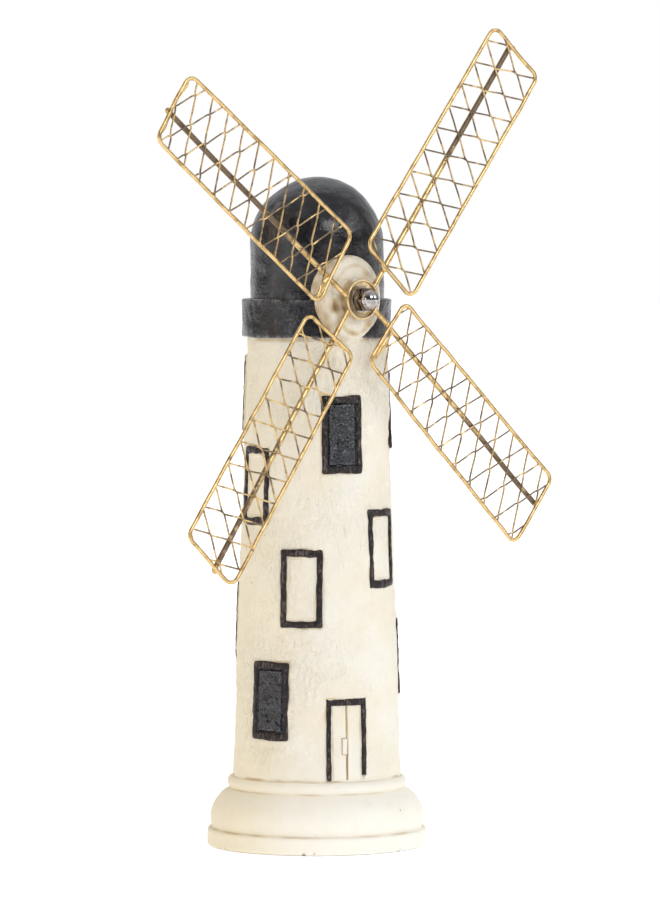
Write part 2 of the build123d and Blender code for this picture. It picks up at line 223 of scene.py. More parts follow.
# %% Smooth unevenness
def unevenness(points, size, seed, waves=14):
    """Between about -1 and 1: the sum over waves of sin(2 pi (point . direction) / length + phase),
    with random directions and phases and lengths around a size in millimetres."""
    random = np.random.default_rng(seed)
    directions = random.normal(size=(waves, 3))
    directions /= np.linalg.norm(directions, axis=1)[:, None]
    lengths = size * random.uniform(0.6, 1.6, waves)
    phases = random.uniform(0, 2 * math.pi, waves)
    total = np.zeros(points.shape[:-1])
    for direction, length, phase in zip(directions, lengths, phases):
        total += np.sin(points @ direction * (2 * math.pi / length) + phase)
    return total / math.sqrt(waves)


def smooth_step(value, low, high):
    """0 below low, 1 above high, and an S-shaped rise between them."""
    share = np.clip((value - low) / (high - low), 0, 1)
    return share * share * (3 - 2 * share)


def bell(distance, width):
    """A bump of height 1 that falls away over a width: exp(-(distance / width) squared)."""
    return np.exp(-((distance / width) ** 2))


# %% Outlines and turned shapes
def arc_through(start, middle, end, count):
    """Points on the circle through three points, from the first to the last."""
    (ax, ay), (bx, by), (cx, cy) = start, middle, end
    d = 2 * (ax * (by - cy) + bx * (cy - ay) + cx * (ay - by))
    ux = ((ax**2 + ay**2) * (by - cy) + (bx**2 + by**2) * (cy - ay) + (cx**2 + cy**2) * (ay - by)) / d
    uy = ((ax**2 + ay**2) * (cx - bx) + (bx**2 + by**2) * (ax - cx) + (cx**2 + cy**2) * (bx - ax)) / d
    radius = math.hypot(ax - ux, ay - uy)
    angles = np.unwrap([math.atan2(y - uy, x - ux) for x, y in (start, middle, end)])
    turn = np.linspace(angles[0], angles[2], count)
    return np.stack([ux + radius * np.cos(turn), uy + radius * np.sin(turn)], axis=-1)


def evenly(outline, step):
    """The same outline with its points about one step apart, worked out by distance along it."""
    outline = np.asarray(outline, float)
    travelled = np.concatenate([[0], np.cumsum(np.linalg.norm(np.diff(outline, axis=0), axis=1))])
    at = np.linspace(0, travelled[-1], max(2, int(round(travelled[-1] / step)) + 1))
    return np.stack([np.interp(at, travelled, outline[:, k]) for k in range(outline.shape[1])], axis=-1)


def turned(outline, columns):
    """A surface of revolution about the tower axis: each (radius, height) pair becomes a ring."""
    turn = np.linspace(0, 2 * math.pi, columns, endpoint=False)
    radius, height = outline[:, 0][:, None], outline[:, 1][:, None]
    return np.stack([radius * np.sin(turn), -radius * np.cos(turn), height + 0 * turn], axis=-1)


def flat_points(across, up):
    """Places in a plane as points, their third number 0, for unevenness along the plane."""
    return np.stack([across, up, 0 * up], axis=-1)


def push_out(sheet, amount):
    """Moves points away from the tower axis by an amount in millimetres."""
    flat = sheet[..., :2]
    radius = np.linalg.norm(flat, axis=-1, keepdims=True)
    moved = flat * (1 + amount[..., None] / np.maximum(radius, 1e-6))
    return np.concatenate([moved, sheet[..., 2:]], axis=-1)


# %% [markdown]
# ## Writing a finish as an expression
# A finish is a network of shader nodes. Written as Python it reads like a recipe: a number that varies
# over the surface is wrapped in a small class, and adding or multiplying such numbers adds the Math
# nodes. Every other node goes in through one method, with its settings first.

# %% Numbers that vary over a surface
class Amount:
    """Wraps a socket. Python's operators on it add Math nodes to the finish it belongs to."""

    def __init__(self, finish, socket):
        self.finish, self.socket = finish, socket

    def math(self, operation, first, second=0.0, clamp=False):
        """A Math node on two numbers, either of them an Amount, its result kept from 0 to 1 if clamped."""
        settings = {"operation": operation, "use_clamp": clamp}
        return self.finish.node("ShaderNodeMath", settings, {0: first, 1: second})

    def __add__(self, other):
        return self.math("ADD", self, other)

    def __radd__(self, other):
        return self.math("ADD", other, self)

    def __sub__(self, other):
        return self.math("SUBTRACT", self, other)

    def __rsub__(self, other):
        return self.math("SUBTRACT", other, self)

    def __mul__(self, other):
        return self.math("MULTIPLY", self, other)

    def __rmul__(self, other):
        return self.math("MULTIPLY", other, self)

    def __abs__(self):
        return self.math("ABSOLUTE", self)

    def held(self):
        """The same number kept between 0 and 1."""
        return self.math("ADD", self, 0.0, clamp=True)


class Finish:
    """A material while it is written, and the one method that adds a node to it."""

    def __init__(self, name):
        self.material = bpy.data.materials.new(name)
        self.material.use_nodes = True
        self.tree = self.material.node_tree
        self.tree.nodes.clear()
        self.place = self.node("ShaderNodeTexCoord", output="Object")

    def node(self, kind, settings=None, inputs=None, output=0):
        """Adds a node with settings and inputs, each a value or an Amount, and wraps one output."""
        made = self.tree.nodes.new(kind)
        for key, value in (settings or {}).items():
            setattr(made, key, value)
        for key, value in (inputs or {}).items():
            if isinstance(value, Amount):
                self.tree.links.new(value.socket, made.inputs[key])
            else:
                made.inputs[key].default_value = value
        return Amount(self, made.outputs[output])

    def stretched(self, stretch):
        """Object coordinates divided by a stretch along each axis, for grain that is longer one way."""
        return self.node("ShaderNodeMapping", {}, {"Vector": self.place, "Scale": [1 / s for s in stretch]})

    def grain(self, size, detail=3.0, roughness=0.5, stretch=None, distortion=0.0):
        """Noise from 0 to 1 whose blotches are about a size in millimetres."""
        place = self.stretched(stretch) if stretch else self.place
        values = {"Vector": place, "Scale": 1 / (size * MM), "Detail": detail}
        values.update({"Roughness": roughness, "Distortion": distortion})
        return self.node("ShaderNodeTexNoise", {}, values)

    def cells(self, size):
        """Distance to the nearest of scattered points about a size apart, in sizes."""
        values = {"Vector": self.place, "Scale": 1 / (size * MM)}
        return self.node("ShaderNodeTexVoronoi", {}, values, "Distance")

    def rise(self, value, low, high):
        """0 below low, 1 above high, smooth between; low may be above high."""
        values = {"Value": value, "From Min": low, "From Max": high, "To Min": 0.0, "To Max": 1.0}
        return self.node("ShaderNodeMapRange", {"interpolation_type": "SMOOTHSTEP"}, values)

    def painted(self, name):
        """A value stored on the mesh's points under a name."""
        return self.node("ShaderNodeAttribute", {"attribute_name": name}, {}, "Fac")

    def mix(self, first, second, share):
        """Goes from one colour to another by a share."""
        return self.node("ShaderNodeMix", {"data_type": "RGBA"}, {0: share, 6: first, 7: second}, 2)

    def relief(self, height, depth, normal=None):
        """Bump: a height from 0 to 1 worth a depth in millimetres."""
        values = {"Height": height, "Distance": depth * MM, "Strength": 1.0}
        if normal:
            values["Normal"] = normal
        return self.node("ShaderNodeBump", {}, values)

    def done(self, inputs):
        """Closes the recipe with the surface shader and returns the material."""
        surface = self.node("ShaderNodeBsdfPrincipled", {}, inputs)
        end = self.tree.nodes.new("ShaderNodeOutputMaterial")
        self.tree.links.new(surface.socket, end.inputs["Surface"])
        return self.material


def rgb(red, green, blue):
    """A colour for a socket, with its fourth number."""
    return (red, green, blue, 1.0)


# %% [markdown]
# ## Cream paint
# The tower, plinth, boss and door are brushed with cream over a rough cast. The colour drifts
# between ivory and butter, is painted darker and yellower on the rear left side as painted shade and
# is painted paler on the plinth as painted light. Brown painted shade lies in the creases, with a few
# stains on the boss, a few specks show, and the brush has left upright wrinkles.

# %% Cream paint
REAR_LEFT = (-0.78, 0.63, 0)
PALE_BELOW = (0.020, 0.030)
ROUGH_ABOVE = (0.024, 0.032)


def make_cream():
    """Cream over a rough cast, from the ground coat outwards: colours first, then the relief."""
    finish = Finish("cream_paint")
    drift = finish.grain(26, 3)
    blotch = finish.grain(5.5, 4, 0.6)
    brush = finish.grain(1.1, 3, 0.6, stretch=(1, 1, 5))
    wash = finish.painted("wash")
    chip = finish.painted("chip")
    ivory = finish.mix(rgb(0.885, 0.845, 0.745), rgb(0.86, 0.79, 0.64), finish.rise(drift, 0.35, 0.7))
    dull = finish.rise(blotch, 0.5, 0.75) * 0.14
    height = finish.node("ShaderNodeSeparateXYZ", {}, {0: finish.place}, 2)
    # Painted light: the plinth, below about 20 to 30 mm, is painted paler to stand in for the brighter light
    # on it.
    plinth_painted_light = finish.mix(rgb(0.96, 0.925, 0.84), ivory, 0.3 + finish.rise(height, *PALE_BELOW) * 0.7)
    # Painted shade: the cream grows darker and yellower towards the rear left, the side turned away from the
    # key light.
    along = {0: finish.place, 1: REAR_LEFT}
    to_the_left = finish.node("ShaderNodeVectorMath", {"operation": "DOT_PRODUCT"}, along, "Value")
    left_painted_shade = finish.mix(plinth_painted_light, rgb(0.85, 0.775, 0.575), finish.rise(to_the_left, 0.0, 0.034) * 0.85)
    body = finish.mix(left_painted_shade, rgb(0.70, 0.60, 0.43), dull)
    streaked = finish.mix(body, rgb(0.90, 0.85, 0.72), finish.rise(brush, 0.55, 0.75) * 0.35)
    # The mesh's value for stains and painted shade: painted brown shade in creases, round openings, at seams
    # and under the cap, and real stains on the boss.
    stain_and_shade_depth = (wash * (0.6 + blotch)).held()
    tinted = finish.mix(streaked, rgb(0.60, 0.44, 0.22), finish.rise(stain_and_shade_depth, 0.0, 0.5) * 0.75)
    stained_and_shaded = finish.mix(tinted, rgb(0.27, 0.16, 0.08), finish.rise(stain_and_shade_depth, 0.35, 1.0))
    speck = finish.rise(finish.cells(9.0), 0.045, 0.02) * finish.rise(finish.grain(14, 1), 0.55, 0.6)
    specked = finish.mix(stained_and_shaded, rgb(0.25, 0.16, 0.09), speck * 0.8)
    # The chip value holds real chips and a painted contact shadow along the plinth's lowest edge.
    chipped_and_shadowed = finish.mix(specked, rgb(0.09, 0.075, 0.065), chip.held())
    wrinkle = 1 - abs(finish.grain(1.5, 3, 0.55, stretch=(1, 1, 1.7), distortion=0.8) - 0.5) * 2
    on_tower = 0.25 + finish.rise(height, *ROUGH_ABOVE) * 0.75
    rougher = (0.45 + finish.rise(finish.grain(34, 1), 0.42, 0.62) * 0.55) * on_tower
    stucco = finish.relief(wrinkle * rougher, 0.6)
    strokes = finish.relief(brush, 0.16, stucco)
    fine = finish.relief(finish.grain(0.8, 2), 0.09, strokes)
    rough = 0.5 + blotch * 0.2 + wash * 0.1
    return finish.done({"Base Color": chipped_and_shadowed, "Roughness": rough, "Normal": fine, "Specular IOR Level": 0.4})


cream = make_cream()
print("cream paint", len(cream.node_tree.nodes), "nodes")

# %% [markdown]
# ## Charcoal paint, black trim and glossy shutters
# The cap is a satin charcoal with grey scuffs where it has been handled. The frames are a flatter,
# browner black laid on with a small brush. The shutters carry a thick gloss over hatching cut in
# the mould.

# %% Dark paints
def make_charcoal():
    """Satin charcoal with soft lumps, broad lighter patches of painted sheen, pale scuffs and worn raised
    edges.
    """
    finish = Finish("charcoal_paint")
    cloud = finish.grain(11, 4, 0.6)
    scuff = finish.grain(2.6, 5, 0.7, stretch=(1, 1, 2.2))
    dust = finish.grain(0.7, 2, 0.6)
    wear = finish.painted("wear")
    body = finish.mix(rgb(0.004, 0.004, 0.006), rgb(0.016, 0.017, 0.022), finish.rise(cloud, 0.40, 0.65))
    # Painted sheen: broad lighter patches that stand in for reflections on the cap.
    sheen_patches = finish.grain(17, 2, stretch=(1, 1, 1.6))
    painted_sheen = finish.mix(body, rgb(0.075, 0.077, 0.09), finish.rise(sheen_patches, 0.50, 0.66) * 0.3)
    scuffed = finish.mix(painted_sheen, rgb(0.20, 0.20, 0.22), finish.rise(scuff, 0.55, 0.72) * 0.28)
    dusted = finish.mix(scuffed, rgb(0.30, 0.30, 0.32), finish.rise(dust, 0.70, 0.80) * 0.25)
    worn = finish.mix(dusted, rgb(0.36, 0.36, 0.38), (wear * finish.rise(scuff, 0.42, 0.60)).held() * 0.75)
    lumps = finish.relief(cloud, 0.8)
    cast = finish.relief(scuff, 0.16, lumps)
    fine = finish.relief(dust, 0.07, cast)
    rough = 0.18 + finish.rise(scuff, 0.4, 0.8) * 0.12
    return finish.done({"Base Color": worn, "Roughness": rough, "Normal": fine, "Specular IOR Level": 0.5})


def make_trim():
    """Matt brownish black with dry brush marks, left cream where the paint is missing."""
    finish = Finish("black_trim_paint")
    cloud = finish.grain(4.5, 4, 0.6)
    brush = finish.grain(0.8, 3, 0.6, stretch=(1, 1, 2.5))
    wear = finish.painted("wear")
    body = finish.mix(rgb(0.010, 0.008, 0.008), rgb(0.026, 0.019, 0.018), finish.rise(cloud, 0.40, 0.72))
    dry = finish.mix(body, rgb(0.20, 0.155, 0.15), finish.rise(brush, 0.52, 0.70) * 0.5)
    worn = finish.mix(dry, rgb(0.17, 0.13, 0.12), (wear * finish.rise(brush, 0.45, 0.65)).held() * 0.5)
    missed = finish.mix(worn, rgb(0.80, 0.72, 0.56), finish.painted("bare").held())
    strokes = finish.relief(brush, 0.10)
    fine = finish.relief(finish.grain(1.6, 4, 0.6), 0.22, strokes)
    rough = 0.42 + finish.rise(cloud, 0.3, 0.8) * 0.25
    return finish.done({"Base Color": missed, "Roughness": rough, "Normal": fine, "Specular IOR Level": 0.3})


def make_gloss():
    """Thick glossy black, worn grey and painted with highlights on the raised hatching."""
    finish = Finish("gloss_black_paint")
    cloud = finish.grain(5, 4, 0.65)
    crackle = finish.grain(0.75, 4, 0.6, distortion=0.8)
    wear = finish.painted("wear")
    body = finish.mix(rgb(0.004, 0.005, 0.008), rgb(0.02, 0.022, 0.03), finish.rise(cloud, 0.48, 0.66))
    # Wear and painted highlight: the raised hatching turns bluish grey, partly from rubbing and partly as a
    # painted highlight.
    rubbed_and_highlight = finish.mix(body, rgb(0.30, 0.31, 0.36), (wear * finish.rise(crackle, 0.42, 0.60)).held() * 0.6)
    lumps = finish.relief(crackle, 0.08)
    waves = finish.relief(cloud, 0.7, lumps)
    rough = 0.13 + finish.rise(cloud, 0.35, 0.75) * 0.14
    inputs = {"Base Color": rubbed_and_highlight, "Roughness": rough, "Normal": waves, "Specular IOR Level": 0.6}
    return finish.done(inputs)


charcoal, trim, gloss = make_charcoal(), make_trim(), make_gloss()

# %% [markdown]
# ## Antique gilt and bright metal
# The wire is gilded and then toned: a brown patina stays over the outer ends of the spars, and the
# same brown lies on the backs of the wires as patina and painted shade, while the front stays bright.
# The hub is the same gilt, duller. The nut is polished chrome, darker below its dome, and the screw
# and washers are zinc.

# %% Metals
def make_gilt(name, bright, deep, toned, age_and_shade_gain):
    """Gilt from a bright to a deep colour, under a toned patina and painted shade that grow with a value
    stored on the mesh.
    """
    finish = Finish(name)
    age = finish.painted("age")
    blotch = finish.grain(3.2, 4, 0.65)
    fleck = finish.grain(0.9, 3, 0.6)
    streak = finish.grain(2.0, 3, 0.6, distortion=0.4)
    tone = finish.mix(rgb(*bright), rgb(*deep), finish.rise(blotch, 0.42, 0.72))
    patina_and_shade_cover = finish.rise(blotch * 0.8 + age * age_and_shade_gain, 0.56, 0.84)
    colour = finish.mix(tone, rgb(*toned), patina_and_shade_cover * 0.88)
    pits = finish.relief(fleck, 0.003)
    drawn = finish.relief(streak, 0.005, pits)
    rough = 0.31 + finish.rise(fleck, 0.35, 0.75) * 0.05 + patina_and_shade_cover * 0.12
    metal = 1 - patina_and_shade_cover * 0.55
    return finish.done({"Base Color": colour, "Metallic": metal, "Roughness": rough, "Normal": drawn})


def make_bright(name, light, dark, low, gain, grain_size):
    """Bare metal between two colours, darker by a value stored on the mesh, its roughness a low value plus a
    gain in the smears.
    """
    finish = Finish(name)
    grime = finish.painted("grime")
    smear = finish.grain(2.4, 4, 0.65)
    scratch = finish.grain(grain_size, 3, 0.6, stretch=(3, 1, 1))
    colour = finish.mix(rgb(*light), rgb(*dark), (finish.rise(smear, 0.42, 0.72) * 0.6 + grime).held())
    fine = finish.relief(scratch, 0.012)
    rough = low + finish.rise(smear, 0.3, 0.8) * gain
    return finish.done({"Base Color": colour, "Metallic": 1.0, "Roughness": rough, "Normal": fine})


gilt = make_gilt("antique_gilt", (0.78, 0.56, 0.26), (0.42, 0.27, 0.11), (0.11, 0.074, 0.05), 0.62)
gilt_hub = make_gilt("hub_gilt", (0.74, 0.57, 0.34), (0.50, 0.36, 0.19), (0.13, 0.09, 0.06), 0.5)
chrome = make_bright("nut_chrome", (0.55, 0.53, 0.52), (0.13, 0.10, 0.08), 0.05, 0.12, 0.5)
steel = make_bright("zinc_steel", (0.60, 0.58, 0.55), (0.40, 0.37, 0.33), 0.26, 0.2, 0.35)
for node in ("shaft_screw", "back_washer", "front_washer"):
    frame["nodes"][node].data.materials.clear()
    frame["nodes"][node].data.materials.append(steel)
print("finishes", [m.name for m in (cream, charcoal, trim, gloss, gilt, gilt_hub, chrome, steel)])

# %% [markdown]
# ## Plinth
# The plinth is a turned shape: a flat rim, a swelling side, a fine crease and a small roll under
# the tower. An outline carried round the axis makes it. The unevenness is small and always inwards,
# so the figure keeps its measured size. The lowest edge has lost a few chips of paint, and a band
# along it is painted dark as a contact shadow.

# %% Plinth
RIM_TOP = 6.4
SWELL_FOOT, SWELL_BELLY = 38.4, (37.7, 14.8)
SHOULDER = (31.7, 20.9)
SWELL_HEAD = (SHOULDER[0] + 0.35, SHOULDER[1] - 0.35)
plinth_outline = np.concatenate(
    [
        [(38.7, 0.0), (39.4, 0.25)],
        arc_through((39.55, 0.4), (39.82, 0.75), (PLINTH_RADIUS, 1.3), 5),
        evenly([(PLINTH_RADIUS, 1.5), (PLINTH_RADIUS, RIM_TOP - 1.4)], 0.5),
        arc_through((PLINTH_RADIUS, RIM_TOP - 1.2), (39.6, RIM_TOP - 0.35), (38.9, RIM_TOP - 0.05), 7),
        [(38.5, RIM_TOP - 0.12), (38.22, RIM_TOP + 0.1)],
        arc_through((SWELL_FOOT - 0.1, RIM_TOP + 0.5), SWELL_BELLY, SWELL_HEAD, 34),
        [(SHOULDER[0] - 0.05, SHOULDER[1] - 0.1), (SHOULDER[0], SHOULDER[1] + 0.12)],
        arc_through((SHOULDER[0] + 0.2, SHOULDER[1] + 0.35), (32.5, 23.1), (31.1, PLINTH_TOP - 0.1), 16),
        [(30.7, PLINTH_TOP), (29.0, PLINTH_TOP)],
    ]
)
PLINTH_COLUMNS = 420
plinth_sheet = turned(plinth_outline, PLINTH_COLUMNS)
plinth_height = plinth_sheet[..., 2]
hollow = 0.10 * unevenness(plinth_sheet, 9, 11) + 0.16 * unevenness(plinth_sheet, 32, 12)
edge_chips = smooth_step(unevenness(plinth_sheet * (1, 1, 0.3), 2.6, 13, 20), 1.25, 1.8)
edge_chips = edge_chips * bell(plinth_height, 1.1)
plinth_sheet = push_out(plinth_sheet, -0.24 + hollow.clip(-0.24, 0.24) - 0.45 * edge_chips)
# Painted shade: brown darkening in the crease above the rim, at the shoulder and where the tower stands.
crease_painted_shade = (
    0.34 * bell(plinth_height - RIM_TOP - 0.05, 0.30)
    + 0.30 * bell(plinth_height - SHOULDER[1], 0.35)
    + 0.35 * bell(plinth_height - PLINTH_TOP + 0.1, 0.35) * (plinth_outline[:, :1] < 31.2)
)
crease_painted_shade = crease_painted_shade * (0.55 + 0.45 * unevenness(plinth_sheet, 12, 14)).clip(0.1, 1)
# Painted contact shadow: a dark band along the lowest edge, stored with the chips.
painted_contact_shadow = 1.1 * bell(plinth_height, 0.33)
plinth = Shell()
plinth.add(plinth_sheet, wash=crease_painted_shade, chip=np.maximum(edge_chips, painted_contact_shadow * 0.6))
place(plinth.build("plinth_casting", cream), "figurine", "cream_resin", "plinth")

# %% [markdown]
# ## Where the windows and the door are
# Each window follows the curved wall. Its frame in the measured model tells where it is: half
# way between the bearings of its two sides, and half way up its box. A point given by its place
# across the opening, its height and its distance off the wall is then easy to put in the room.

# %% Bearings of the openings
WINDOW_WIDTH = 15.2


def bearing_and_box(node):
    """Bearing from the front in degrees half way between a node's two sides, and its lowest and highest z."""
    points = node_points(node)
    turn = np.degrees(np.arctan2(points[:, 0], -points[:, 1]))
    middle = math.degrees(math.atan2(points[:, 0].mean(), -points[:, 1].mean()))
    spread = (turn - middle + 180) % 360 - 180
    return middle + (spread.min() + spread.max()) / 2, points[:, 2].min(), points[:, 2].max()


WINDOW_NAMES = [n[: -len("_window_frame")] for n in sorted(frame["nodes"]) if n.endswith("_window_frame")]
openings = {name: bearing_and_box(name + "_window_frame") for name in WINDOW_NAMES}
door_bearing, door_low, door_high = bearing_and_box("door_frame")
print({name: [round(float(v), 1) for v in where] for name, where in openings.items()})
print("door", round(door_bearing, 1), round(door_low, 1), round(door_high, 1))


def on_wall(bearing, across, height, out):
    """The point so far across from the middle of an opening, at a height, and so far out off the wall."""
    wall = wall_radius(height)
    turn = math.radians(bearing) + np.arcsin(across / wall)
    return np.stack([(wall + out) * np.sin(turn), -(wall + out) * np.cos(turn), height + 0 * across], axis=-1)


# %% [markdown]
# ## Tower
# The wall is one turned surface of about ninety thousand uneven points, with a shallow pocket
# behind every window and behind the door, so that their panes can lie a little below the wall. The
# pockets' sloping sides are hidden under the black frames. Painted brown shade is stored on the mesh
# round the frames, under the cap and at the foot.

# %% Tower
TOWER_COLUMNS, TOWER_ROWS = 330, 285
POCKET_DEPTH = 0.8
# An opening reaches only this far round the wall, in radians; points beyond it count as far off.
NEARBY, FAR_OFF = 1.2, 99.0
tower_heights = np.linspace(PLINTH_TOP - 0.6, BAND_LOW + 2.0, TOWER_ROWS)
tower_sheet = turned(np.stack([wall_radius(tower_heights), tower_heights], axis=-1), TOWER_COLUMNS)
tower_turn = np.degrees(np.arctan2(tower_sheet[..., 0], -tower_sheet[..., 1]))
tower_z = tower_sheet[..., 2]
tower_relief = 0.13 * unevenness(tower_sheet, 7, 21) + 0.20 * unevenness(tower_sheet, 30, 22)
crumpled = 0.3 + smooth_step(unevenness(tower_sheet, 45, 25), -0.2, 0.9)
tower_relief = tower_relief + 0.10 * crumpled * unevenness(tower_sheet * (1, 1, 0.7), 2.6, 23, 30)
pocket = np.zeros_like(tower_z)
# Painted shade: brown darkening under the cap band, at the foot of the wall and just round every opening.
tower_painted_shade = 0.55 * bell(tower_z - BAND_LOW + 0.5, 0.9) + 0.6 * bell(tower_z - PLINTH_TOP - 0.2, 0.5)
for bearing, low, high in [*openings.values(), (door_bearing, door_low, door_high)]:
    aside = np.radians((tower_turn - bearing + 180) % 360 - 180)
    across = np.where(np.abs(aside) < NEARBY, wall_radius(tower_z) * np.sin(aside), FAR_OFF)
    over_side = np.abs(across) - WINDOW_WIDTH / 2
    over_end = np.abs(tower_z - (low + high) / 2) - (high - low) / 2
    outside = np.maximum(over_side, over_end)
    pocket = np.maximum(pocket, smooth_step(-outside, 0.5, 1.4))
    tower_painted_shade = np.maximum(tower_painted_shade, 0.42 * bell(np.maximum(outside, 0), 0.5) * (outside > -2))
tower_shade_patchiness = (0.45 + 0.55 * unevenness(tower_sheet, 9, 24)).clip(0.05, 1)
tower_sheet = push_out(tower_sheet, tower_relief * (1 - pocket) - POCKET_DEPTH * pocket)
tower = Shell()
tower.add(tower_sheet, wash=tower_painted_shade * tower_shade_patchiness, chip=0.0)
place(tower.build("tower_casting", cream), "figurine", "cream_resin", "tower")

# %% [markdown]
# ## Cap
# The cap is a dome on a straight skirt, cast with soft dents, and a raised band round its foot. The
# band's outline is a closed ring, so it is carried round the axis as a solid hoop. Its lower edge
# wavers where the two colours meet.

# %% Cap dome
DOME_COLUMNS = 300
skirt = evenly([(DOME_RADIUS, BAND_LOW + 1.0), (DOME_RADIUS, DOME_SPRING)], 0.8)
dome_rise = np.linspace(0, math.radians(89.3), 60)[1:]
dome_arc = np.stack([DOME_RADIUS * np.cos(dome_rise), DOME_SPRING + DOME_RADIUS * np.sin(dome_rise)], axis=-1)
dome_sheet = turned(np.concatenate([skirt, dome_arc]), DOME_COLUMNS)
dome_centre = np.array([0, 0, DOME_SPRING])
dome_out = dome_sheet - dome_centre
dome_out[..., 2] = np.maximum(dome_out[..., 2], 0)
dome_out /= np.linalg.norm(dome_out, axis=-1, keepdims=True)
dome_relief = 0.09 * unevenness(dome_sheet, 8, 31) + 0.26 * unevenness(dome_sheet, 26, 32)
dents = smooth_step(unevenness(dome_sheet, 5.5, 33, 20), 1.3, 2.2)
dome_wear = 0.2 * bell(dome_sheet[..., 2] - BAND_HIGH - 0.6, 0.7)
dome_wear = dome_wear + 0.25 * smooth_step(unevenness(dome_sheet, 12, 34), 0.7, 1.6)
dome_sheet = dome_sheet + dome_out * (-0.30 + dome_relief - 0.2 * dents)[..., None]
cap = Shell()
cap.add(dome_sheet, wear=dome_wear)
place(cap.build("cap_dome_casting", charcoal), "figurine", "charcoal_resin", "cap_dome")

# %% Cap band
BAND_COLUMNS = 420
# The band is hollowed by a tenth of a millimetre at this height.
BAND_MIDDLE = 190.0


def off_edge(inwards, height):
    """A place on the band's outline: so far inside its outer radius, at a height."""
    return BAND_RADIUS - inwards, height


band_outline = np.concatenate(
    [
        evenly([(DOME_RADIUS - 1.0, BAND_LOW + 0.15), off_edge(0.7, BAND_LOW)], 0.5),
        arc_through(
            off_edge(0.55, BAND_LOW + 0.03), off_edge(0.14, BAND_LOW + 0.2), off_edge(0, BAND_LOW + 0.7), 5
        ),
        arc_through(
            off_edge(0, BAND_LOW + 1.0), off_edge(0.1, BAND_MIDDLE), off_edge(0, BAND_HIGH - 1.0), 24
        ),
        arc_through(
            off_edge(0, BAND_HIGH - 0.7), off_edge(0.18, BAND_HIGH - 0.2), off_edge(0.65, BAND_HIGH), 5
        ),
        evenly([off_edge(1.0, BAND_HIGH + 0.02), (DOME_RADIUS + 0.25, BAND_HIGH - 0.1)], 0.5),
        [(DOME_RADIUS - 0.2, BAND_HIGH - 0.55), (DOME_RADIUS - 1.0, BAND_HIGH - 0.7)],
    ]
)
band_sheet = turned(band_outline, BAND_COLUMNS)
band_z = band_sheet[..., 2]
low_part = 1 - smooth_step(band_z, BAND_LOW + 0.5, BAND_LOW + 3.0)
high_part = smooth_step(band_z, BAND_HIGH - 3.0, BAND_HIGH - 0.5)
ring_place = np.broadcast_to(band_sheet[:1], band_sheet.shape)
waver = 0.24 * unevenness(ring_place, 10, 41) * low_part + 0.10 * unevenness(ring_place, 14, 42) * high_part
band_relief = 0.06 * unevenness(band_sheet, 6, 43) + 0.16 * unevenness(band_sheet, 24, 44)
nicks = smooth_step(unevenness(band_sheet, 2.6, 45, 20), 1.3, 2.2)
band_wear = 0.6 * bell(band_z - BAND_HIGH, 0.9) + 0.6 * bell(band_z - BAND_LOW, 0.8)
band_wear = band_wear + 0.2 * smooth_step(unevenness(band_sheet, 10, 46), 0.6, 1.5)
band_sheet = push_out(band_sheet, -0.16 + band_relief - 0.25 * nicks)
band_sheet[..., 2] += waver
cap_band = Shell()
cap_band.add(band_sheet, wrap_rows=True, wear=band_wear)
place(cap_band.build("cap_band_casting", charcoal), "figurine", "charcoal_resin", "cap_band")

# %% [markdown]
# ## Shaft boss
# The shaft leaves the cap through an oval button of cream resin, cast like a cushion with a wide
# rounded edge. A round nose in its middle carries the washer, and its foot flares where it meets the
# tower. Rings suit it: they come out of the cap as ovals, turn over the rim and shrink to the nose.

# %% Shaft boss
BOSS_HALF_WIDTH, BOSS_HALF_HEIGHT = 13.0, 15.8
BOSS_COLUMNS = 200
# Each ring: share of the oval, radius of the round nose, how oval it is, and reach in front of the axis.
boss_rings = np.array(
    [
        (0.96, 6.0, 1.0, 17.0),
        (0.985, 6.0, 1.0, 19.0),
        (1.0, 6.0, 1.0, 21.0),
        (1.0, 6.0, 1.0, 23.2),
        (0.995, 6.0, 1.0, 24.4),
        (0.98, 6.0, 1.0, 25.4),
        (0.95, 6.0, 1.0, 26.3),
        (0.905, 6.0, 1.0, 27.0),
        (0.85, 6.0, 1.0, 27.5),
        (0.77, 6.0, 1.0, 27.85),
        (0.68, 6.0, 0.9, 28.02),
        (0.60, 7.4, 0.6, 28.08),
        (0.55, 6.9, 0.25, 28.10),
        (0.50, 6.5, 0.0, 28.18),
        (0.46, 6.25, 0.0, 28.36),
        (0.44, 5.95, 0.0, 28.56),
        (0.40, 5.4, 0.0, 28.67),
        (0.30, 4.2, 0.0, 28.69),
        (0.20, 3.0, 0.0, 28.69),
        (0.18, 2.6, 0.0, 28.55),
    ]
)
boss_at = np.linspace(0, len(boss_rings) - 1, 96)
oval_share, nose_radius, oval, reach = [
    np.interp(boss_at, np.arange(len(boss_rings)), column)[:, None] for column in boss_rings.T
]
boss_turn = np.linspace(0, 2 * math.pi, BOSS_COLUMNS, endpoint=False)
oval_x = oval_share * BOSS_HALF_WIDTH * np.cos(boss_turn)
oval_z = oval_share * BOSS_HALF_HEIGHT * np.sin(boss_turn)
boss_x = oval * oval_x + (1 - oval) * nose_radius * np.cos(boss_turn)
boss_z = oval * oval_z + (1 - oval) * nose_radius * np.sin(boss_turn)
boss_reach = reach + 0 * boss_x
boss_sheet = np.stack([SHAFT_X + boss_x, -boss_reach, SHAFT_Z + boss_z], axis=-1)
side_part = 1 - smooth_step(boss_reach, 24.0, 27.6)
face_part = smooth_step(boss_reach, 25.5, 27.5) * (1 - smooth_step(boss_reach, 28.1, 28.3))
foot_part = smooth_step(-boss_z, 11.0, 15.5)
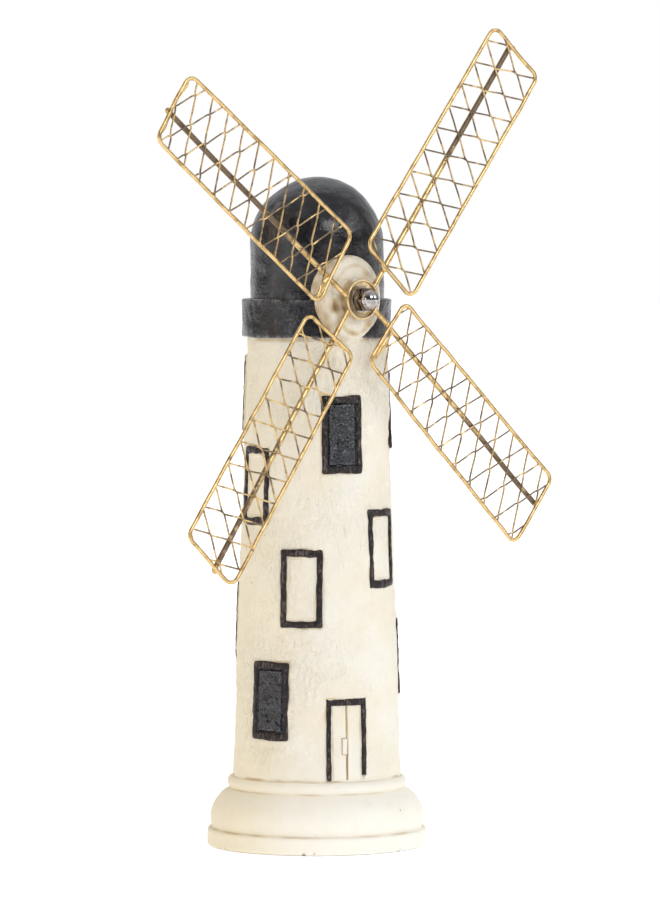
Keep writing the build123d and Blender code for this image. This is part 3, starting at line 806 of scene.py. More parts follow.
# A raised ridge runs round near the rim with a shallow gutter inside it, at these shares of the oval.
RIDGE_AT, GUTTER_AT = 0.86, 0.77
swell = 0.22 * unevenness(boss_sheet, 9, 51) + 0.30 * unevenness(boss_sheet, 24, 52)
ridge = bell(oval_share - RIDGE_AT, 0.035) * (1 + 0.5 * unevenness(boss_sheet, 14, 55))
gutter = bell(oval_share - GUTTER_AT, 0.045) * (1 + 0.5 * unevenness(boss_sheet, 12, 56))
boss_sheet[..., 1] -= (swell - 0.35 - 0.22 * gutter) * face_part + 0.10 * ridge
grow = 1 + (0.014 * unevenness(boss_sheet, 11, 53) + 0.03 * foot_part) * (side_part + 0.6 * face_part)
boss_sheet[..., 0] = SHAFT_X + (boss_sheet[..., 0] - SHAFT_X) * grow
boss_sheet[..., 2] = SHAFT_Z + (boss_sheet[..., 2] - SHAFT_Z) * grow
# Stains left of the hub and above and below to its right, with painted shade: a painted shadow in a ring
# round the nose under the cup, and darker on the side wall and in the gutter.
boss_stains_and_shade = (
    0.55 * bell(boss_x + 9.3, 2.2) * bell(boss_z + 3.0, 5.2)
    + 0.45 * bell(np.hypot(boss_x, boss_z) - 6.6, 0.8)
    + 0.30 * bell(boss_x - 4.6, 2.0) * bell(boss_z - 9.0, 2.6)
    + 0.32 * bell(boss_x - 5.0, 2.2) * bell(boss_z + 8.4, 2.2)
    + 0.12
    + 0.30 * side_part
    + 0.26 * gutter
)
boss_stains_and_shade = boss_stains_and_shade * (0.75 + 0.35 * unevenness(boss_sheet, 5, 54)).clip(0.2, 1.2)
boss = Shell()
boss.add(boss_sheet, wash=boss_stains_and_shade, chip=0.0)
place(boss.build("shaft_boss_casting", cream), "figurine", "cream_resin", "shaft_boss")

# %% [markdown]
# ## Window frames
# A frame is a bar of black paint on a raised border, laid by hand. Its outline is two rounded
# rectangles, one inside the other, with the same number of points so they pair up. A bar's section
# is carried between them round the window, and both edges waver as a brush does.

# %% Window frames
WINDOW_HEIGHT = 28.0
STILE, RAIL = 2.1, 2.6
FRAME_PROUD = 0.7


def rounded_rectangle(width, height, corner, side_points=26, corner_points=5):
    """A closed loop of (across, up) points: four sides and four quarter circles, evenly spaced on each."""
    loop = []
    signs = ((1, 1), (-1, 1), (-1, -1), (1, -1))
    for k, (sx, sz) in enumerate(signs):
        centre = np.array([sx * (width / 2 - corner), sz * (height / 2 - corner)])
        turn = np.linspace(k * math.pi / 2, (k + 1) * math.pi / 2, corner_points)
        loop.append(centre + corner * np.stack([np.cos(turn), np.sin(turn)], axis=-1))
        nsx, nsz = signs[(k + 1) % 4]
        following = np.array([nsx * (width / 2 - corner), nsz * (height / 2 - corner)])
        ahead = (k + 1) * math.pi / 2
        reach = corner * np.array([math.cos(ahead), math.sin(ahead)])
        share = np.linspace(0, 1, side_points + 2)[1:-1, None]
        loop.append((centre + reach) * (1 - share) + (following + reach) * share)
    return np.concatenate(loop)


# Section of the bar: share of the way from the inner edge to the outer one, and height off the wall.
BAR_SECTION = np.array(
    [
        (0.02, -0.6),
        (0.0, -0.1),
        (0.01, 0.25),
        (0.07, 0.50),
        (0.20, 0.64),
        (0.40, 0.70),
        (0.62, 0.70),
        (0.80, 0.62),
        (0.93, 0.45),
        (1.0, 0.18),
        (1.0, -0.15),
        (0.98, -0.6),
    ]
)
BAR_SHARE = BAR_SECTION[:, 0][None, :, None]
BAR_PROUD = BAR_SECTION[:, 1][None, :]
EDGE_WAVER = 0.011
# The outer sides of frames whose bearing is beyond this many degrees were left cream.
UNPAINTED_BEYOND = 125


def lumpy_bar(spot, lumps, seed):
    """Height of the bar off the wall, with fine and broad lumps on the part that stands proud."""
    uneven = 0.10 * unevenness(spot, 2.6, seed) + lumps * unevenness(spot, 9, seed + 1)
    return BAR_PROUD + np.where(BAR_PROUD > 0, uneven, 0)


def window_frame(name, bearing, low, high, seed):
    """The bar between two wavering loops, bent to the wall; proud points are worn more."""
    middle = (low + high) / 2
    outer = rounded_rectangle(WINDOW_WIDTH, WINDOW_HEIGHT, 0.8)
    inner = rounded_rectangle(WINDOW_WIDTH - 2 * STILE, WINDOW_HEIGHT - 2 * RAIL, 0.45)
    flat = flat_points(outer[:, 0], outer[:, 1])
    how_far = np.linalg.norm(outer / (WINDOW_WIDTH, WINDOW_HEIGHT), axis=1, keepdims=True)
    out_way = outer / how_far * EDGE_WAVER
    outer_wave = 0.8 * unevenness(flat, 10, seed) + 0.25 * unevenness(flat, 3.5, seed + 5) - 0.3
    inner_wave = 0.8 * unevenness(flat, 9, seed + 1) + 0.2 * unevenness(flat, 3, seed + 6)
    outer = outer + out_way * outer_wave[:, None]
    inner = inner + out_way * inner_wave[:, None]
    loops = inner[:, None, :] * (1 - BAR_SHARE) + outer[:, None, :] * BAR_SHARE
    across, up = loops[..., 0], loops[..., 1]
    spot = flat_points(across, up)
    out = np.minimum(lumpy_bar(spot, 0.12, seed + 2), FRAME_PROUD + 0.12)
    wear = smooth_step(BAR_PROUD, 0.4, 0.7) * (0.5 + 0.5 * unevenness(spot, 5, seed + 4)).clip(0, 1)
    outer_side = (BAR_SECTION[:, 0] > 0.97) & (BAR_SECTION[:, 1] < 0.3)
    bare = 1.0 * (outer_side & (abs(bearing) > UNPAINTED_BEYOND))
    shell = Shell()
    shell.add(on_wall(bearing, across, middle + up, out), wrap_rows=True, wear=wear, bare=bare[None, :])
    piece = shell.build(name + "_window_frame_bar", trim, 50)
    place(piece, "figurine", "black_trim", name + "_window_frame")


for order, (name, (bearing, low, high)) in enumerate(openings.items()):
    window_frame(name, bearing, low, high, 100 + 10 * order)

# %% [markdown]
# ## Panes, shutters and door leaves
# All of these are thin curved plates whose front is a height map: a number of millimetres off the
# wall for every place on the plate. The back is drawn to one point, out of sight. A cream pane has a
# faint step with painted brown shade in it. A shutter has a panel inside a groove, and a crossed hatch.

# %% Plates with a height map
PLATE_BACK = -0.6


def plate(bearing, middle, width, height, step, relief, side=0.0):
    """A grid across and up, set off the wall by relief(across, up) -> (out, values), and closed behind."""
    columns, rows = int(round(width / step)) + 1, int(round(height / step)) + 1
    across_line = np.linspace(-width / 2, width / 2, columns)
    up_line = np.linspace(-height / 2, height / 2, rows)
    across, up = np.meshgrid(across_line, up_line)
    out, values = relief(across, up)
    front = on_wall(bearing, across + side, middle + up, out)
    behind = on_wall(bearing, across + side, middle + up, np.full_like(out, PLATE_BACK))

    def border(grid):
        """The grid's outermost points in one closed line: along the foot, up, back along the top and down."""
        return np.concatenate([grid[0, :-1], grid[:-1, -1], grid[-1, :0:-1], grid[:0:-1, 0]])

    rim = np.stack([border(front), border(behind)])
    rim_values = {key: np.broadcast_to(border(value), rim.shape[:2]) for key, value in values.items()}
    return front, values, rim, rim_values


def build_plate(name, material, made):
    """Joins a plate's front to its rim and back and makes the object."""
    front, values, rim, rim_values = made
    shell = Shell()
    shell.add(front, wrap_columns=False, **values)
    shell.add(rim, ends=(1,), **rim_values)
    return shell.build(name, material, 50, join=True)


PANEL_HALF = (5.5, 11.4)
HATCH_PITCH = 1.25


def inside_panel(across, up, wobble, seed):
    """The same places as points, and how far each lies inside the panel's wavering edge."""
    spot = flat_points(across, up)
    straight = np.minimum(PANEL_HALF[0] - np.abs(across), PANEL_HALF[1] - np.abs(up))
    return spot, straight + wobble * unevenness(spot, 6, seed)


def pane_relief(seed):
    """Height map of a cream pane: a faint step down inside its edge, with painted shade in the corner of it.
    """

    def relief(across, up):
        spot, from_edge = inside_panel(across, up, 0.12, seed)
        step = smooth_step(from_edge, 0.7, 1.15)
        out = -0.10 - 0.22 * step + 0.05 * unevenness(spot, 5, seed + 1)
        edge_painted_shade = 0.6 * bell(from_edge, 0.3) + 0.3 * bell(from_edge - 0.95, 0.22)
        patchy = (0.5 + 0.5 * unevenness(spot, 7, seed + 2)).clip(0.1, 1)
        return out, {"wash": edge_painted_shade * patchy, "chip": 0 * out}

    return relief


def shutter_relief(seed):
    """Height map of a shutter: a groove, then a panel crumpled and hatched both ways in patches."""

    def relief(across, up):
        spot, from_edge = inside_panel(across, up, 0.10, seed)
        groove = bell(from_edge - 0.35, 0.30)
        lean = (across + up) / math.sqrt(2) + 0.3 * unevenness(spot, 5, seed + 1)
        other = (across - up) / math.sqrt(2) + 0.3 * unevenness(spot, 5, seed + 2)
        one_way, other_way = (np.cos(2 * math.pi * line / HATCH_PITCH) for line in (lean, other))
        hatch = np.maximum(one_way, other_way * 0.8)
        patch = (0.5 + 0.5 * unevenness(spot, 7, seed + 3)).clip(0, 1)
        crumple = 0.09 * unevenness(spot, 1.5, seed + 4, 24) + 0.10 * unevenness(spot, 4.5, seed + 5)
        inside = smooth_step(from_edge, 0.6, 1.3)
        out = 0.22 - 0.42 * groove + inside * (0.07 * hatch * patch + 1.3 * crumple) + 0.05 * inside
        # The raised hatching and the ring inside the groove carry wear and painted highlight.
        raised = inside * smooth_step(hatch * patch, 0.2, 0.8)
        return np.minimum(out, 0.55), {"wear": raised * 0.3 * patch + 0.35 * bell(from_edge - 1.0, 0.3)}

    return relief


for order, (name, (bearing, low, high)) in enumerate(openings.items()):
    middle = (low + high) / 2
    shuttered = name + "_shutter" in frame["nodes"]
    seed = 300 + 10 * order
    relief = shutter_relief(seed) if shuttered else pane_relief(seed)
    made = plate(bearing, middle, WINDOW_WIDTH - 2 * STILE + 0.5, WINDOW_HEIGHT - 2 * RAIL + 0.5, 0.2, relief)
    kind, slot, material = ("shutter", "gloss_black", gloss) if shuttered else ("pane", "cream_resin", cream)
    piece = build_plate(f"{name}_{kind}_plate", material, made)
    place(piece, "figurine", slot, f"{name}_{kind}")

# %% [markdown]
# ## Door
# The door is a pair of plain leaves with a dark seam, a small latch block and a black frame on three
# sides. The frame is the same painted bar, this time along an open path up one jamb, over and down the
# other. The paint stops just short of the plinth.

# %% Door frame
JAMB, LINTEL = 1.8, 2.6
JAMB_FEET = (0.7, 2.4)


def door_path(width, top, feet, points=40):
    """Up one side, across and down the other as one line of (across, height) points, equally many on each."""
    corners = [(-width / 2, feet[0]), (-width / 2, top), (width / 2, top), (width / 2, feet[1])]
    runs = [np.linspace(a, b, points, endpoint=False) for a, b in zip(corners, corners[1:])]
    return np.concatenate([*runs, [corners[-1]]])


feet = [door_low + lift for lift in JAMB_FEET]
door_outer = door_path(WINDOW_WIDTH, door_high, feet)
door_inner = door_path(WINDOW_WIDTH - 2 * JAMB, door_high - LINTEL, feet)
door_spot = flat_points(door_outer[:, 0], door_outer[:, 1])
door_outer[:, 0] += 0.08 * unevenness(door_spot, 7, 201)
door_outer[:, 1] += 0.08 * unevenness(door_spot, 4, 202) - 0.1
door_inner[:, 0] += 0.12 * unevenness(door_spot, 8, 203) + 0.04 * unevenness(door_spot, 3, 207)
door_loops = door_inner[:, None, :] * (1 - BAR_SHARE) + door_outer[:, None, :] * BAR_SHARE
bar_spot = flat_points(door_loops[..., 0], door_loops[..., 1])
bar_out = lumpy_bar(bar_spot, 0.08, 204).clip(-0.6, 0.85)
foot_wear = 1.2 * bell(door_loops[..., 1] - door_low - 2.5, 2.6) * (door_loops[..., 0] < 0)
jamb_wear = (0.3 + 0.4 * unevenness(bar_spot, 5, 206)).clip(0, 1)
door_wear = smooth_step(BAR_PROUD, 0.4, 0.7) * jamb_wear + foot_wear
door_bar = Shell()
door_bar.add(on_wall(door_bearing, door_loops[..., 0], door_loops[..., 1], bar_out), wear=door_wear)
place(door_bar.build("door_frame_bar", trim, 50), "figurine", "black_trim", "door_frame")

# %% Door leaves and latch
SEAM = 0.3
leaf_width = (WINDOW_WIDTH - 2 * JAMB - SEAM) / 2
leaf_top = door_high - LINTEL
leaf_height = leaf_top - door_low


def leaf_relief(seam_side, seed):
    """Height map of a door leaf: it dips towards the seam, with painted shade along the seam and by the jamb.
    """

    def relief(across, up):
        spot = flat_points(across, up)
        to_seam = leaf_width / 2 - seam_side * across
        to_jamb = leaf_width - to_seam
        out = -0.10 - 0.3 * bell(to_seam, 0.25) + 0.05 * unevenness(spot, 5, seed)
        seam_painted_shade = 0.95 * bell(to_seam, 0.24) + 0.4 * bell(to_jamb - 0.55, 0.28)
        patchy = (0.8 + 0.3 * unevenness(spot, 9, seed + 1)).clip(0.2, 1.3)
        return out, {"wash": seam_painted_shade * patchy, "chip": 0 * out}

    return relief


LEAF_LAP = 0.26
leaf_middle = door_low + leaf_height / 2
for side, sign in (("left", -1), ("right", 1)):
    aside = sign * (leaf_width + SEAM) / 2
    relief = leaf_relief(-sign, 210 + sign)
    made = plate(door_bearing, leaf_middle, leaf_width + LEAF_LAP, leaf_height, 0.22, relief, aside)
    place(build_plate(f"door_leaf_{side}_plate", cream, made), "figurine", "cream_resin", f"door_leaf_{side}")

latch_low, latch_high = box_mm("door_latch")[0][2], box_mm("door_latch")[1][2]
latch_middle, latch_height = (latch_low + latch_high) / 2, latch_high - latch_low
LATCH_WIDTH, LATCH_SIDE, LATCH_PROUD = 2.1, -0.95, 0.5


def latch_relief(across, up):
    """Height map of the latch block: flat on top, with rounded edges and painted shade round its foot."""
    spot = flat_points(across, up)
    from_edge = np.minimum(LATCH_WIDTH / 2 - np.abs(across), latch_height / 2 - np.abs(up))
    out = -0.15 + (LATCH_PROUD + 0.15) * smooth_step(from_edge, -0.1, 0.45) + 0.04 * unevenness(spot, 2, 220)
    return out, {"wash": 0.75 * bell(from_edge, 0.2), "chip": 0 * out}


made = plate(door_bearing, latch_middle, LATCH_WIDTH, latch_height, 0.12, latch_relief, LATCH_SIDE)
place(build_plate("door_latch_block", cream, made), "figurine", "cream_resin", "door_latch")

# %% [markdown]
# ## The sails in their own plane
# Each sail lies in a plane across the shaft. A place on it is given by how far along the spar it is
# and how far to the side. The four frames were bent by hand, so each has its own four corners, its own
# spar line and its own spacing of the lattice. They repeat the sizes of the measured model.

# %% Sail sizes
SAILS = {
    "upper_right": {
        "angle": 53.5,
        "spar_side": -2.1,
        "corners": ((13.0, -17.6), (113.3, -18.3), (115.5, 9.4), (16.3, 10.3)),
        "weaves": ((33.4, 19.9, 9.87), (3.9, 20.1, 9.84)),
        "spar_age": (0.15, 1.4, 0.45, 0.72),
        "weave_age": (0.62, 0.42),
    },
    "upper_left": {
        "angle": 141.0,
        "spar_side": 3.2,
        "corners": ((18.8, -15.0), (110.2, -12.2), (107.2, 14.6), (14.9, 14.1)),
        "weaves": ((23.8, 37.9, 9.65), (20.6, 6.8, 8.53)),
        "spar_age": (0.05, 1.5, 0.28, 0.45),
        "weave_age": (0.6, 0.32),
    },
    "lower_left": {
        "angle": 236.1,
        "spar_side": -2.7,
        "corners": ((17.5, -18.5), (111.7, -20.3), (116.2, 6.6), (19.0, 7.2)),
        "weaves": ((26.4, 17.7, 9.09), (23.4, 43.3, 9.56)),
        "spar_age": (0.12, 0.6, 0.2, 0.9),
        "weave_age": (0.42, 0.38),
    },
    "lower_right": {
        "angle": 316.6,
        "spar_side": 1.7,
        "corners": ((16.7, -14.4), (113.3, -16.4), (110.7, 13.2), (14.4, 12.5)),
        "weaves": ((24.4, 36.6, 9.36), (25.7, 9.1, 9.46)),
        "spar_age": (0.1, 0.7, 0.15, 0.8),
        "weave_age": (0.68, 0.32),
    },
}
SAIL_CORNER = 3.4
SPAR_RADIUS, FRAME_RADIUS, LATTICE_RADIUS = 1.0, 0.75, 0.32
SPAR_REACH = -(box_mm("sail_spar_upper_right")[0][1] + box_mm("sail_spar_upper_right")[1][1]) / 2
FRAME_REACH = -(box_mm("sail_frame_upper_right")[0][1] + box_mm("sail_frame_upper_right")[1][1]) / 2
LATTICE_SPREAD = 0.2
LATTICE_SHORTEST = 2.4
LATTICE_STEPS = range(-3, 14)
HUB_RADIUS = (box_mm("hub_cup")[1][0] - box_mm("hub_cup")[0][0]) / 2
print("spar and frame reach, hub radius", [round(v, 2) for v in (SPAR_REACH, FRAME_REACH, HUB_RADIUS)])


def in_room(sail, flat, reach):
    """Points of a sail's own plane put in the room: origin + along * unit along + side * unit side."""
    turn = math.radians(sail["angle"])
    along, side = flat[..., 0], flat[..., 1]
    x = SHAFT_X + along * math.cos(turn) - side * math.sin(turn)
    z = SHAFT_Z + along * math.sin(turn) + side * math.cos(turn)
    return np.stack([x, -(reach + 0 * x), z], axis=-1)


# %% [markdown]
# ## Wire
# A wire is a ring of points carried along a path. The ring stands across the path at every step: one
# of its directions is the line out of the sail, the other is square to both. Its radius may change on
# the way, and so may its width against its depth, which makes fillets of solder too.

# %% Tubes along a path
OUTWARD = np.array([0.0, -1.0, 0.0])


def tube(path, radius, sides=12, closed=False, flatten=1.0):
    """A ring at each path point: radius * (cos t out of the sail + flatten * sin t across the path)."""
    if closed:
        tangent = np.roll(path, -1, axis=0) - np.roll(path, 1, axis=0)
    else:
        tangent = np.gradient(path, axis=0)
    tangent /= np.linalg.norm(tangent, axis=1)[:, None]
    across = np.cross(tangent, OUTWARD)
    across /= np.linalg.norm(across, axis=1)[:, None]
    up = np.cross(across, tangent)
    turn = np.linspace(0, 2 * math.pi, sides, endpoint=False)
    radius = np.broadcast_to(radius, path.shape[:1])[:, None, None]
    wide = np.broadcast_to(flatten, path.shape[:1])[:, None, None]
    cosine, sine = (wave[None, :, None] for wave in (np.cos(turn), np.sin(turn)))
    return path[:, None, :] + radius * (up[:, None, :] * cosine + wide * across[:, None, :] * sine)


def sideways(x, z):
    """Shifts that stay in the plane of the sails."""
    return np.stack([x, 0 * x, z], axis=-1)


def back_patina_and_shade(sides, rows):
    """Share of each ring that faces away from the viewer of the sail, for patina and painted shade that grow
    towards the far side.
    """
    turn = np.linspace(0, 2 * math.pi, sides, endpoint=False)
    return np.broadcast_to((0.5 - 0.5 * np.cos(turn))[None, :], (rows, sides))


def drop(centre, radii, sides=8, rings=4):
    """A small drop of solder: a rounded lump with its own radius along x, y and z."""
    rise = np.linspace(-1.35, 1.35, rings)[:, None]
    turn = np.linspace(0, 2 * math.pi, sides, endpoint=False)[None, :]
    level = np.cos(rise)
    ball = np.stack([level * np.cos(turn), np.sin(rise) + 0 * turn, level * np.sin(turn)], axis=-1)
    return centre + ball * np.asarray(radii)


def rounded_corners(corners, radius, count=9):
    """A closed four-sided outline whose corners are replaced by arcs that touch both sides."""
    corners = np.asarray(corners, float)
    outline = []
    for before, here, after in zip(np.roll(corners, 1, axis=0), corners, np.roll(corners, -1, axis=0)):
        back_way, on_way = before - here, after - here
        back_way, on_way = back_way / np.linalg.norm(back_way), on_way / np.linalg.norm(on_way)
        half = math.acos(float(back_way @ on_way)) / 2
        cut = radius / math.tan(half)
        centre = here + (back_way + on_way) / np.linalg.norm(back_way + on_way) * radius / math.sin(half)
        start, end = here + back_way * cut - centre, here + on_way * cut - centre
        share = np.linspace(0, 1, count)[:, None]
        bend = start * (1 - share) + end * share
        outline.append(centre + bend / np.linalg.norm(bend, axis=1)[:, None] * radius)
    return np.concatenate(outline)


def across_frame(corners, side, end):
    """How far along the sail a line at a side meets the inner (end 0) or outer (end 1) bar."""
    low, high = (corners[1], corners[2]) if end else (corners[0], corners[3])
    return low[0] + (side - low[1]) / (high[1] - low[1]) * (high[0] - low[0])


# %% [markdown]
# ## Spars and frames
# A spar runs from the hub, behind the frame, to the outer bar. Solder joins it to both bars. The
# frame is one closed wire with slight kinks where it was bent over the pliers. Patina covers the
# outer ends, and patina with painted shade the backs and sides.

# %% Spars
SPAR_OVERLAP = 0.35


for order, (where, sail) in enumerate(SAILS.items()):
    inner_bar = across_frame(sail["corners"], sail["spar_side"], 0)
    outer_bar = across_frame(sail["corners"], sail["spar_side"], 1)
    root = math.sqrt(HUB_RADIUS**2 - sail["spar_side"] ** 2) - SPAR_OVERLAP
    line = evenly([(root, sail["spar_side"]), (outer_bar + SPAR_OVERLAP, sail["spar_side"])], 0.7)
    path = in_room(sail, line, SPAR_REACH)
    path = path + 0.10 * sideways(unevenness(path, 38, 400 + order), unevenness(path, 33, 410 + order))
    share = (line[:, 0] - root) / (outer_bar - root)
    thick = SPAR_RADIUS * (0.97 + 0.02 * unevenness(path, 6, 420 + order))
    thick[-1] *= 0.75
    first_age, last_age, age_from, age_to = sail["spar_age"]
    ageing = first_age + (last_age - first_age) * smooth_step(share, age_from, age_to)
    # Patina grows towards the outer end; the backs and sides add patina and painted shade.
    age = ageing[:, None] + 0.45 * back_patina_and_shade(16, len(line))
    spar = Shell()
    spar.add(tube(path, thick, 16), age=age)
    for bar, gold in ((inner_bar, 0.1), (outer_bar, 0.35)):
        spot = in_room(sail, np.array([bar, sail["spar_side"]]), SPAR_REACH + 0.55)
        spar.add(drop(spot, (1.2, 0.9, 1.15), 14, 8), age=gold)
    place(spar.build(f"sail_spar_{where}_wire", gilt), "rotor", "gilt_wire", f"sail_spar_{where}")

# %% Frames
# Fillets of solder inside a frame: from and to as (along, side), half its greatest width, and where
# along it that is.
WEBS = {
    "upper_left": [
        ((17.4, 4.0), (17.2, 12.8), 1.8, 0.3),
        ((108.9, -9.6), (108.6, -3.0), 1.1, 0.2),
        ((107.5, 4.6), (106.6, 12.0), 0.9, 0.7),
    ],
    "lower_right": [((17.6, 0.5), (18.4, -12.6), 1.15, 0.55)],
    "upper_right": [((14.2, -2.6), (14.9, 1.4), 0.9, 0.4)],
    "lower_left": [((19.0, -4.5), (18.8, -0.8), 0.95, 0.5)],
}
for order, (where, sail) in enumerate(SAILS.items()):
    outline = rounded_corners(sail["corners"], SAIL_CORNER)
    loop = evenly(np.concatenate([outline, outline[:1]]), 0.6)[:-1]
    path = in_room(sail, loop, FRAME_REACH)
    slack = sideways(unevenness(path, 17, 430 + order), unevenness(path, 15, 440 + order))
    path = path.mean(axis=0) + (path - path.mean(axis=0)) * 0.995 + 0.12 * slack
    path[:, 1] += 0.04 * unevenness(path, 20, 450 + order)
    thick = FRAME_RADIUS * (0.96 + 0.022 * unevenness(path, 5.5, 460 + order))
    stains = 0.30 * smooth_step(unevenness(path, 9, 470 + order), 0.2, 1.2)
    # Stains at random, and patina with painted shade on the backs and sides.
    age = stains[:, None] + 0.42 * back_patina_and_shade(14, len(path)) - 0.08
    sail_frame = Shell()
    sail_frame.add(tube(path, thick, 14, closed=True), wrap_rows=True, age=age)
    for start, end, half_width, widest in WEBS[where]:
        line = evenly([start, end], 0.45)
        share = np.linspace(0, 1, len(line))
        peak = np.interp(share, [0, widest, 1], [0.35, 1, 0.25])
        web = in_room(sail, line, FRAME_REACH)
        half_depth = 0.5 * (0.6 + 0.4 * peak)
        body = tube(web, half_depth, 12, flatten=half_width * peak / 0.5 / (0.6 + 0.4 * peak))
        sail_frame.add(body + 0.04 * unevenness(body, 2.6, 480 + order)[..., None], age=0.12)
    place(sail_frame.build(f"sail_frame_{where}_wire", gilt), "rotor", "gilt_wire", f"sail_frame_{where}")


# %% [markdown]
# ## Lattice
# Two families of thin wire cross at a slant. At every crossing the two wires were pulled together
# and soldered, so each one jogs a little sideways there and runs back on its way to the next
# crossing. Drops of solder sit on the crossings and on the bars.

# %% Lattice wires
def clip_to_outline(start, end, outline):
    """The part of a straight wire inside a frame's rounded outline, or None where too little of it is."""
    low, high = 0.0, 1.0
    run = end - start
    for here, there in zip(outline, np.roll(outline, -1, axis=0)):
        inward = np.array([here[1] - there[1], there[0] - here[0]])
        inside, gain = inward @ (start - here), inward @ run
        if gain > 0:
            low = max(low, -inside / gain)
        else:
            high = min(high, -inside / gain)
    if (high - low) * np.linalg.norm(run) < LATTICE_SHORTEST:
        return None
    return start + low * run, start + high * run


def woven(sail):
    """Both families of a sail's lattice wires: a list of (start, end) in its plane for each family."""
    corners = np.array(sail["corners"])
    outline = rounded_corners(corners, SAIL_CORNER)
    inner_low, outer_low, outer_high, inner_high = corners
    low_way = (outer_low - inner_low) / (outer_low - inner_low)[0]
    high_way = (outer_high - inner_high) / (outer_high - inner_high)[0]
    families = []
    for low_first, high_first, pitch in sail["weaves"]:
        wires = []
        for step in LATTICE_STEPS:
            start = inner_low + low_way * (low_first + step * pitch - inner_low[0])
            end = inner_high + high_way * (high_first + step * pitch - inner_high[0])
            clipped = clip_to_outline(start, end, outline)
            if clipped:
                wires.append(clipped)
        families.append(wires)
    return families


def crossings(wire, others):
    """Distances along a wire at which it crosses each of the other family's wires."""
    start, end = wire
    run = end - start
    length = np.linalg.norm(run)
    found = []
    for other_start, other_end in others:
        other = other_end - other_start
        turn = run[0] * other[1] - run[1] * other[0]
        gap = other_start - start
        share = (gap[0] * other[1] - gap[1] * other[0]) / turn
        other_share = (gap[0] * run[1] - gap[1] * run[0]) / turn
        if 0 < share < 1 and 0 <= other_share <= 1:
            found.append(share * length)
    return sorted(found)


JOG_LENGTH = 0.9
NO_JOG_WITHIN = 1.6
WIRE_STEP = 0.45
CROSSING_DROP, END_DROP = 0.42, 0.55
END_DROP_INSET, END_DROP_LIFT = 0.15, 0.28


def jogging(wire, crossed, sizes):
    """The wire's path in its plane: a straight run with a sideways jog of a given size at every crossing."""
    start, end = wire
    length = np.linalg.norm(end - start)
    way = (end - start) / length
    beside = np.array([-way[1], way[0]])
    knots, shifts = [0.0], [0.0]
    for at, size in zip(crossed, sizes):
        if NO_JOG_WITHIN < at < length - NO_JOG_WITHIN:
            knots += [at - JOG_LENGTH, at + JOG_LENGTH]
            shifts += [size, -size]
    knots.append(length)
    shifts.append(0.0)
    at = np.linspace(0, length, max(8, int(length / WIRE_STEP)))
    shift = np.interp(at, knots, shifts)
    shift[1:-1] = (shift[:-2] + 2 * shift[1:-1] + shift[2:]) / 4
    return start + at[:, None] * way + shift[:, None] * beside


for order, (where, sail) in enumerate(SAILS.items()):
    random = np.random.default_rng(500 + order)
    families = woven(sail)
    lattice = Shell()
    drops = []
    for family, (lift, other) in enumerate(((-LATTICE_SPREAD, 1), (LATTICE_SPREAD, 0))):
        toned = sail["weave_age"][family]
        for wire in families[family]:
            crossed = crossings(wire, families[other])
            sizes = random.uniform(0.10, 0.42, len(crossed)) * (1, -1)[family]
            flat = jogging(wire, crossed, sizes)
            path = in_room(sail, flat, FRAME_REACH + lift)
            path = path + 0.06 * sideways(unevenness(path, 7, 510 + order), 0 * flat[:, 0])
            thick = LATTICE_RADIUS * (0.97 + 0.03 * unevenness(path, 2.2, 520 + order))
            # Patina at random, and patina with painted shade on the backs and sides.
            age = toned + 0.25 * unevenness(path, 8, 530 + order)[:, None] + 0.3 * back_patina_and_shade(8, len(path))
            lattice.add(tube(path, thick, 8), age=age)
            length = np.linalg.norm(wire[1] - wire[0])
            if family == 0:
                drops += [(wire[0] + (wire[1] - wire[0]) * at / length, CROSSING_DROP) for at in crossed]
            inset = (wire[1] - wire[0]) / length * END_DROP_INSET
            drops += [(wire[0] + inset, END_DROP), (wire[1] - inset, END_DROP)]
    for flat, size in drops:
        spot = in_room(sail, flat, FRAME_REACH + (END_DROP_LIFT if size == END_DROP else 0.0))
        size = size * random.uniform(0.8, 1.2)
        lattice.add(drop(spot, (size * 1.15, size * 0.85, size)), age=random.uniform(-0.1, 0.5))
    place(lattice.build(f"sail_lattice_{where}_wires", gilt), "rotor", "gilt_wire", f"sail_lattice_{where}")
    print(where, [len(family) for family in families], "wires", len(drops), "drops")

# %% [markdown]
# ## Hub cup and acorn nut
# Both are turned about the shaft. The cup has a rim rolled over like a wire and a dished inside. The
# nut is turned too, but the radius of its lower rings is the smaller of a six-sided outline and a
# cone, which cuts the corners off the hexagon at both ends the way a real nut's are.

# %% Shapes turned about the shaft
def about_shaft(outline, columns):
    """Rings about the shaft: each (radius, reach) pair, or a radius for every column, becomes one ring."""
    turn = np.linspace(0, 2 * math.pi, columns, endpoint=False)
    radius, reach = outline
    x = SHAFT_X + radius * np.cos(turn)
    z = SHAFT_Z + radius * np.sin(turn)
    return np.stack([x, -(reach + 0 * x), z], axis=-1)


cup_low, cup_high = -box_mm("hub_cup")[1][1], -box_mm("hub_cup")[0][1]
CUP_RIM = 0.5


def cup_point(inwards, height):
    """A place on the cup's outline: so far inside its outer radius, and so far above its back."""
    return HUB_RADIUS - inwards, cup_low + height


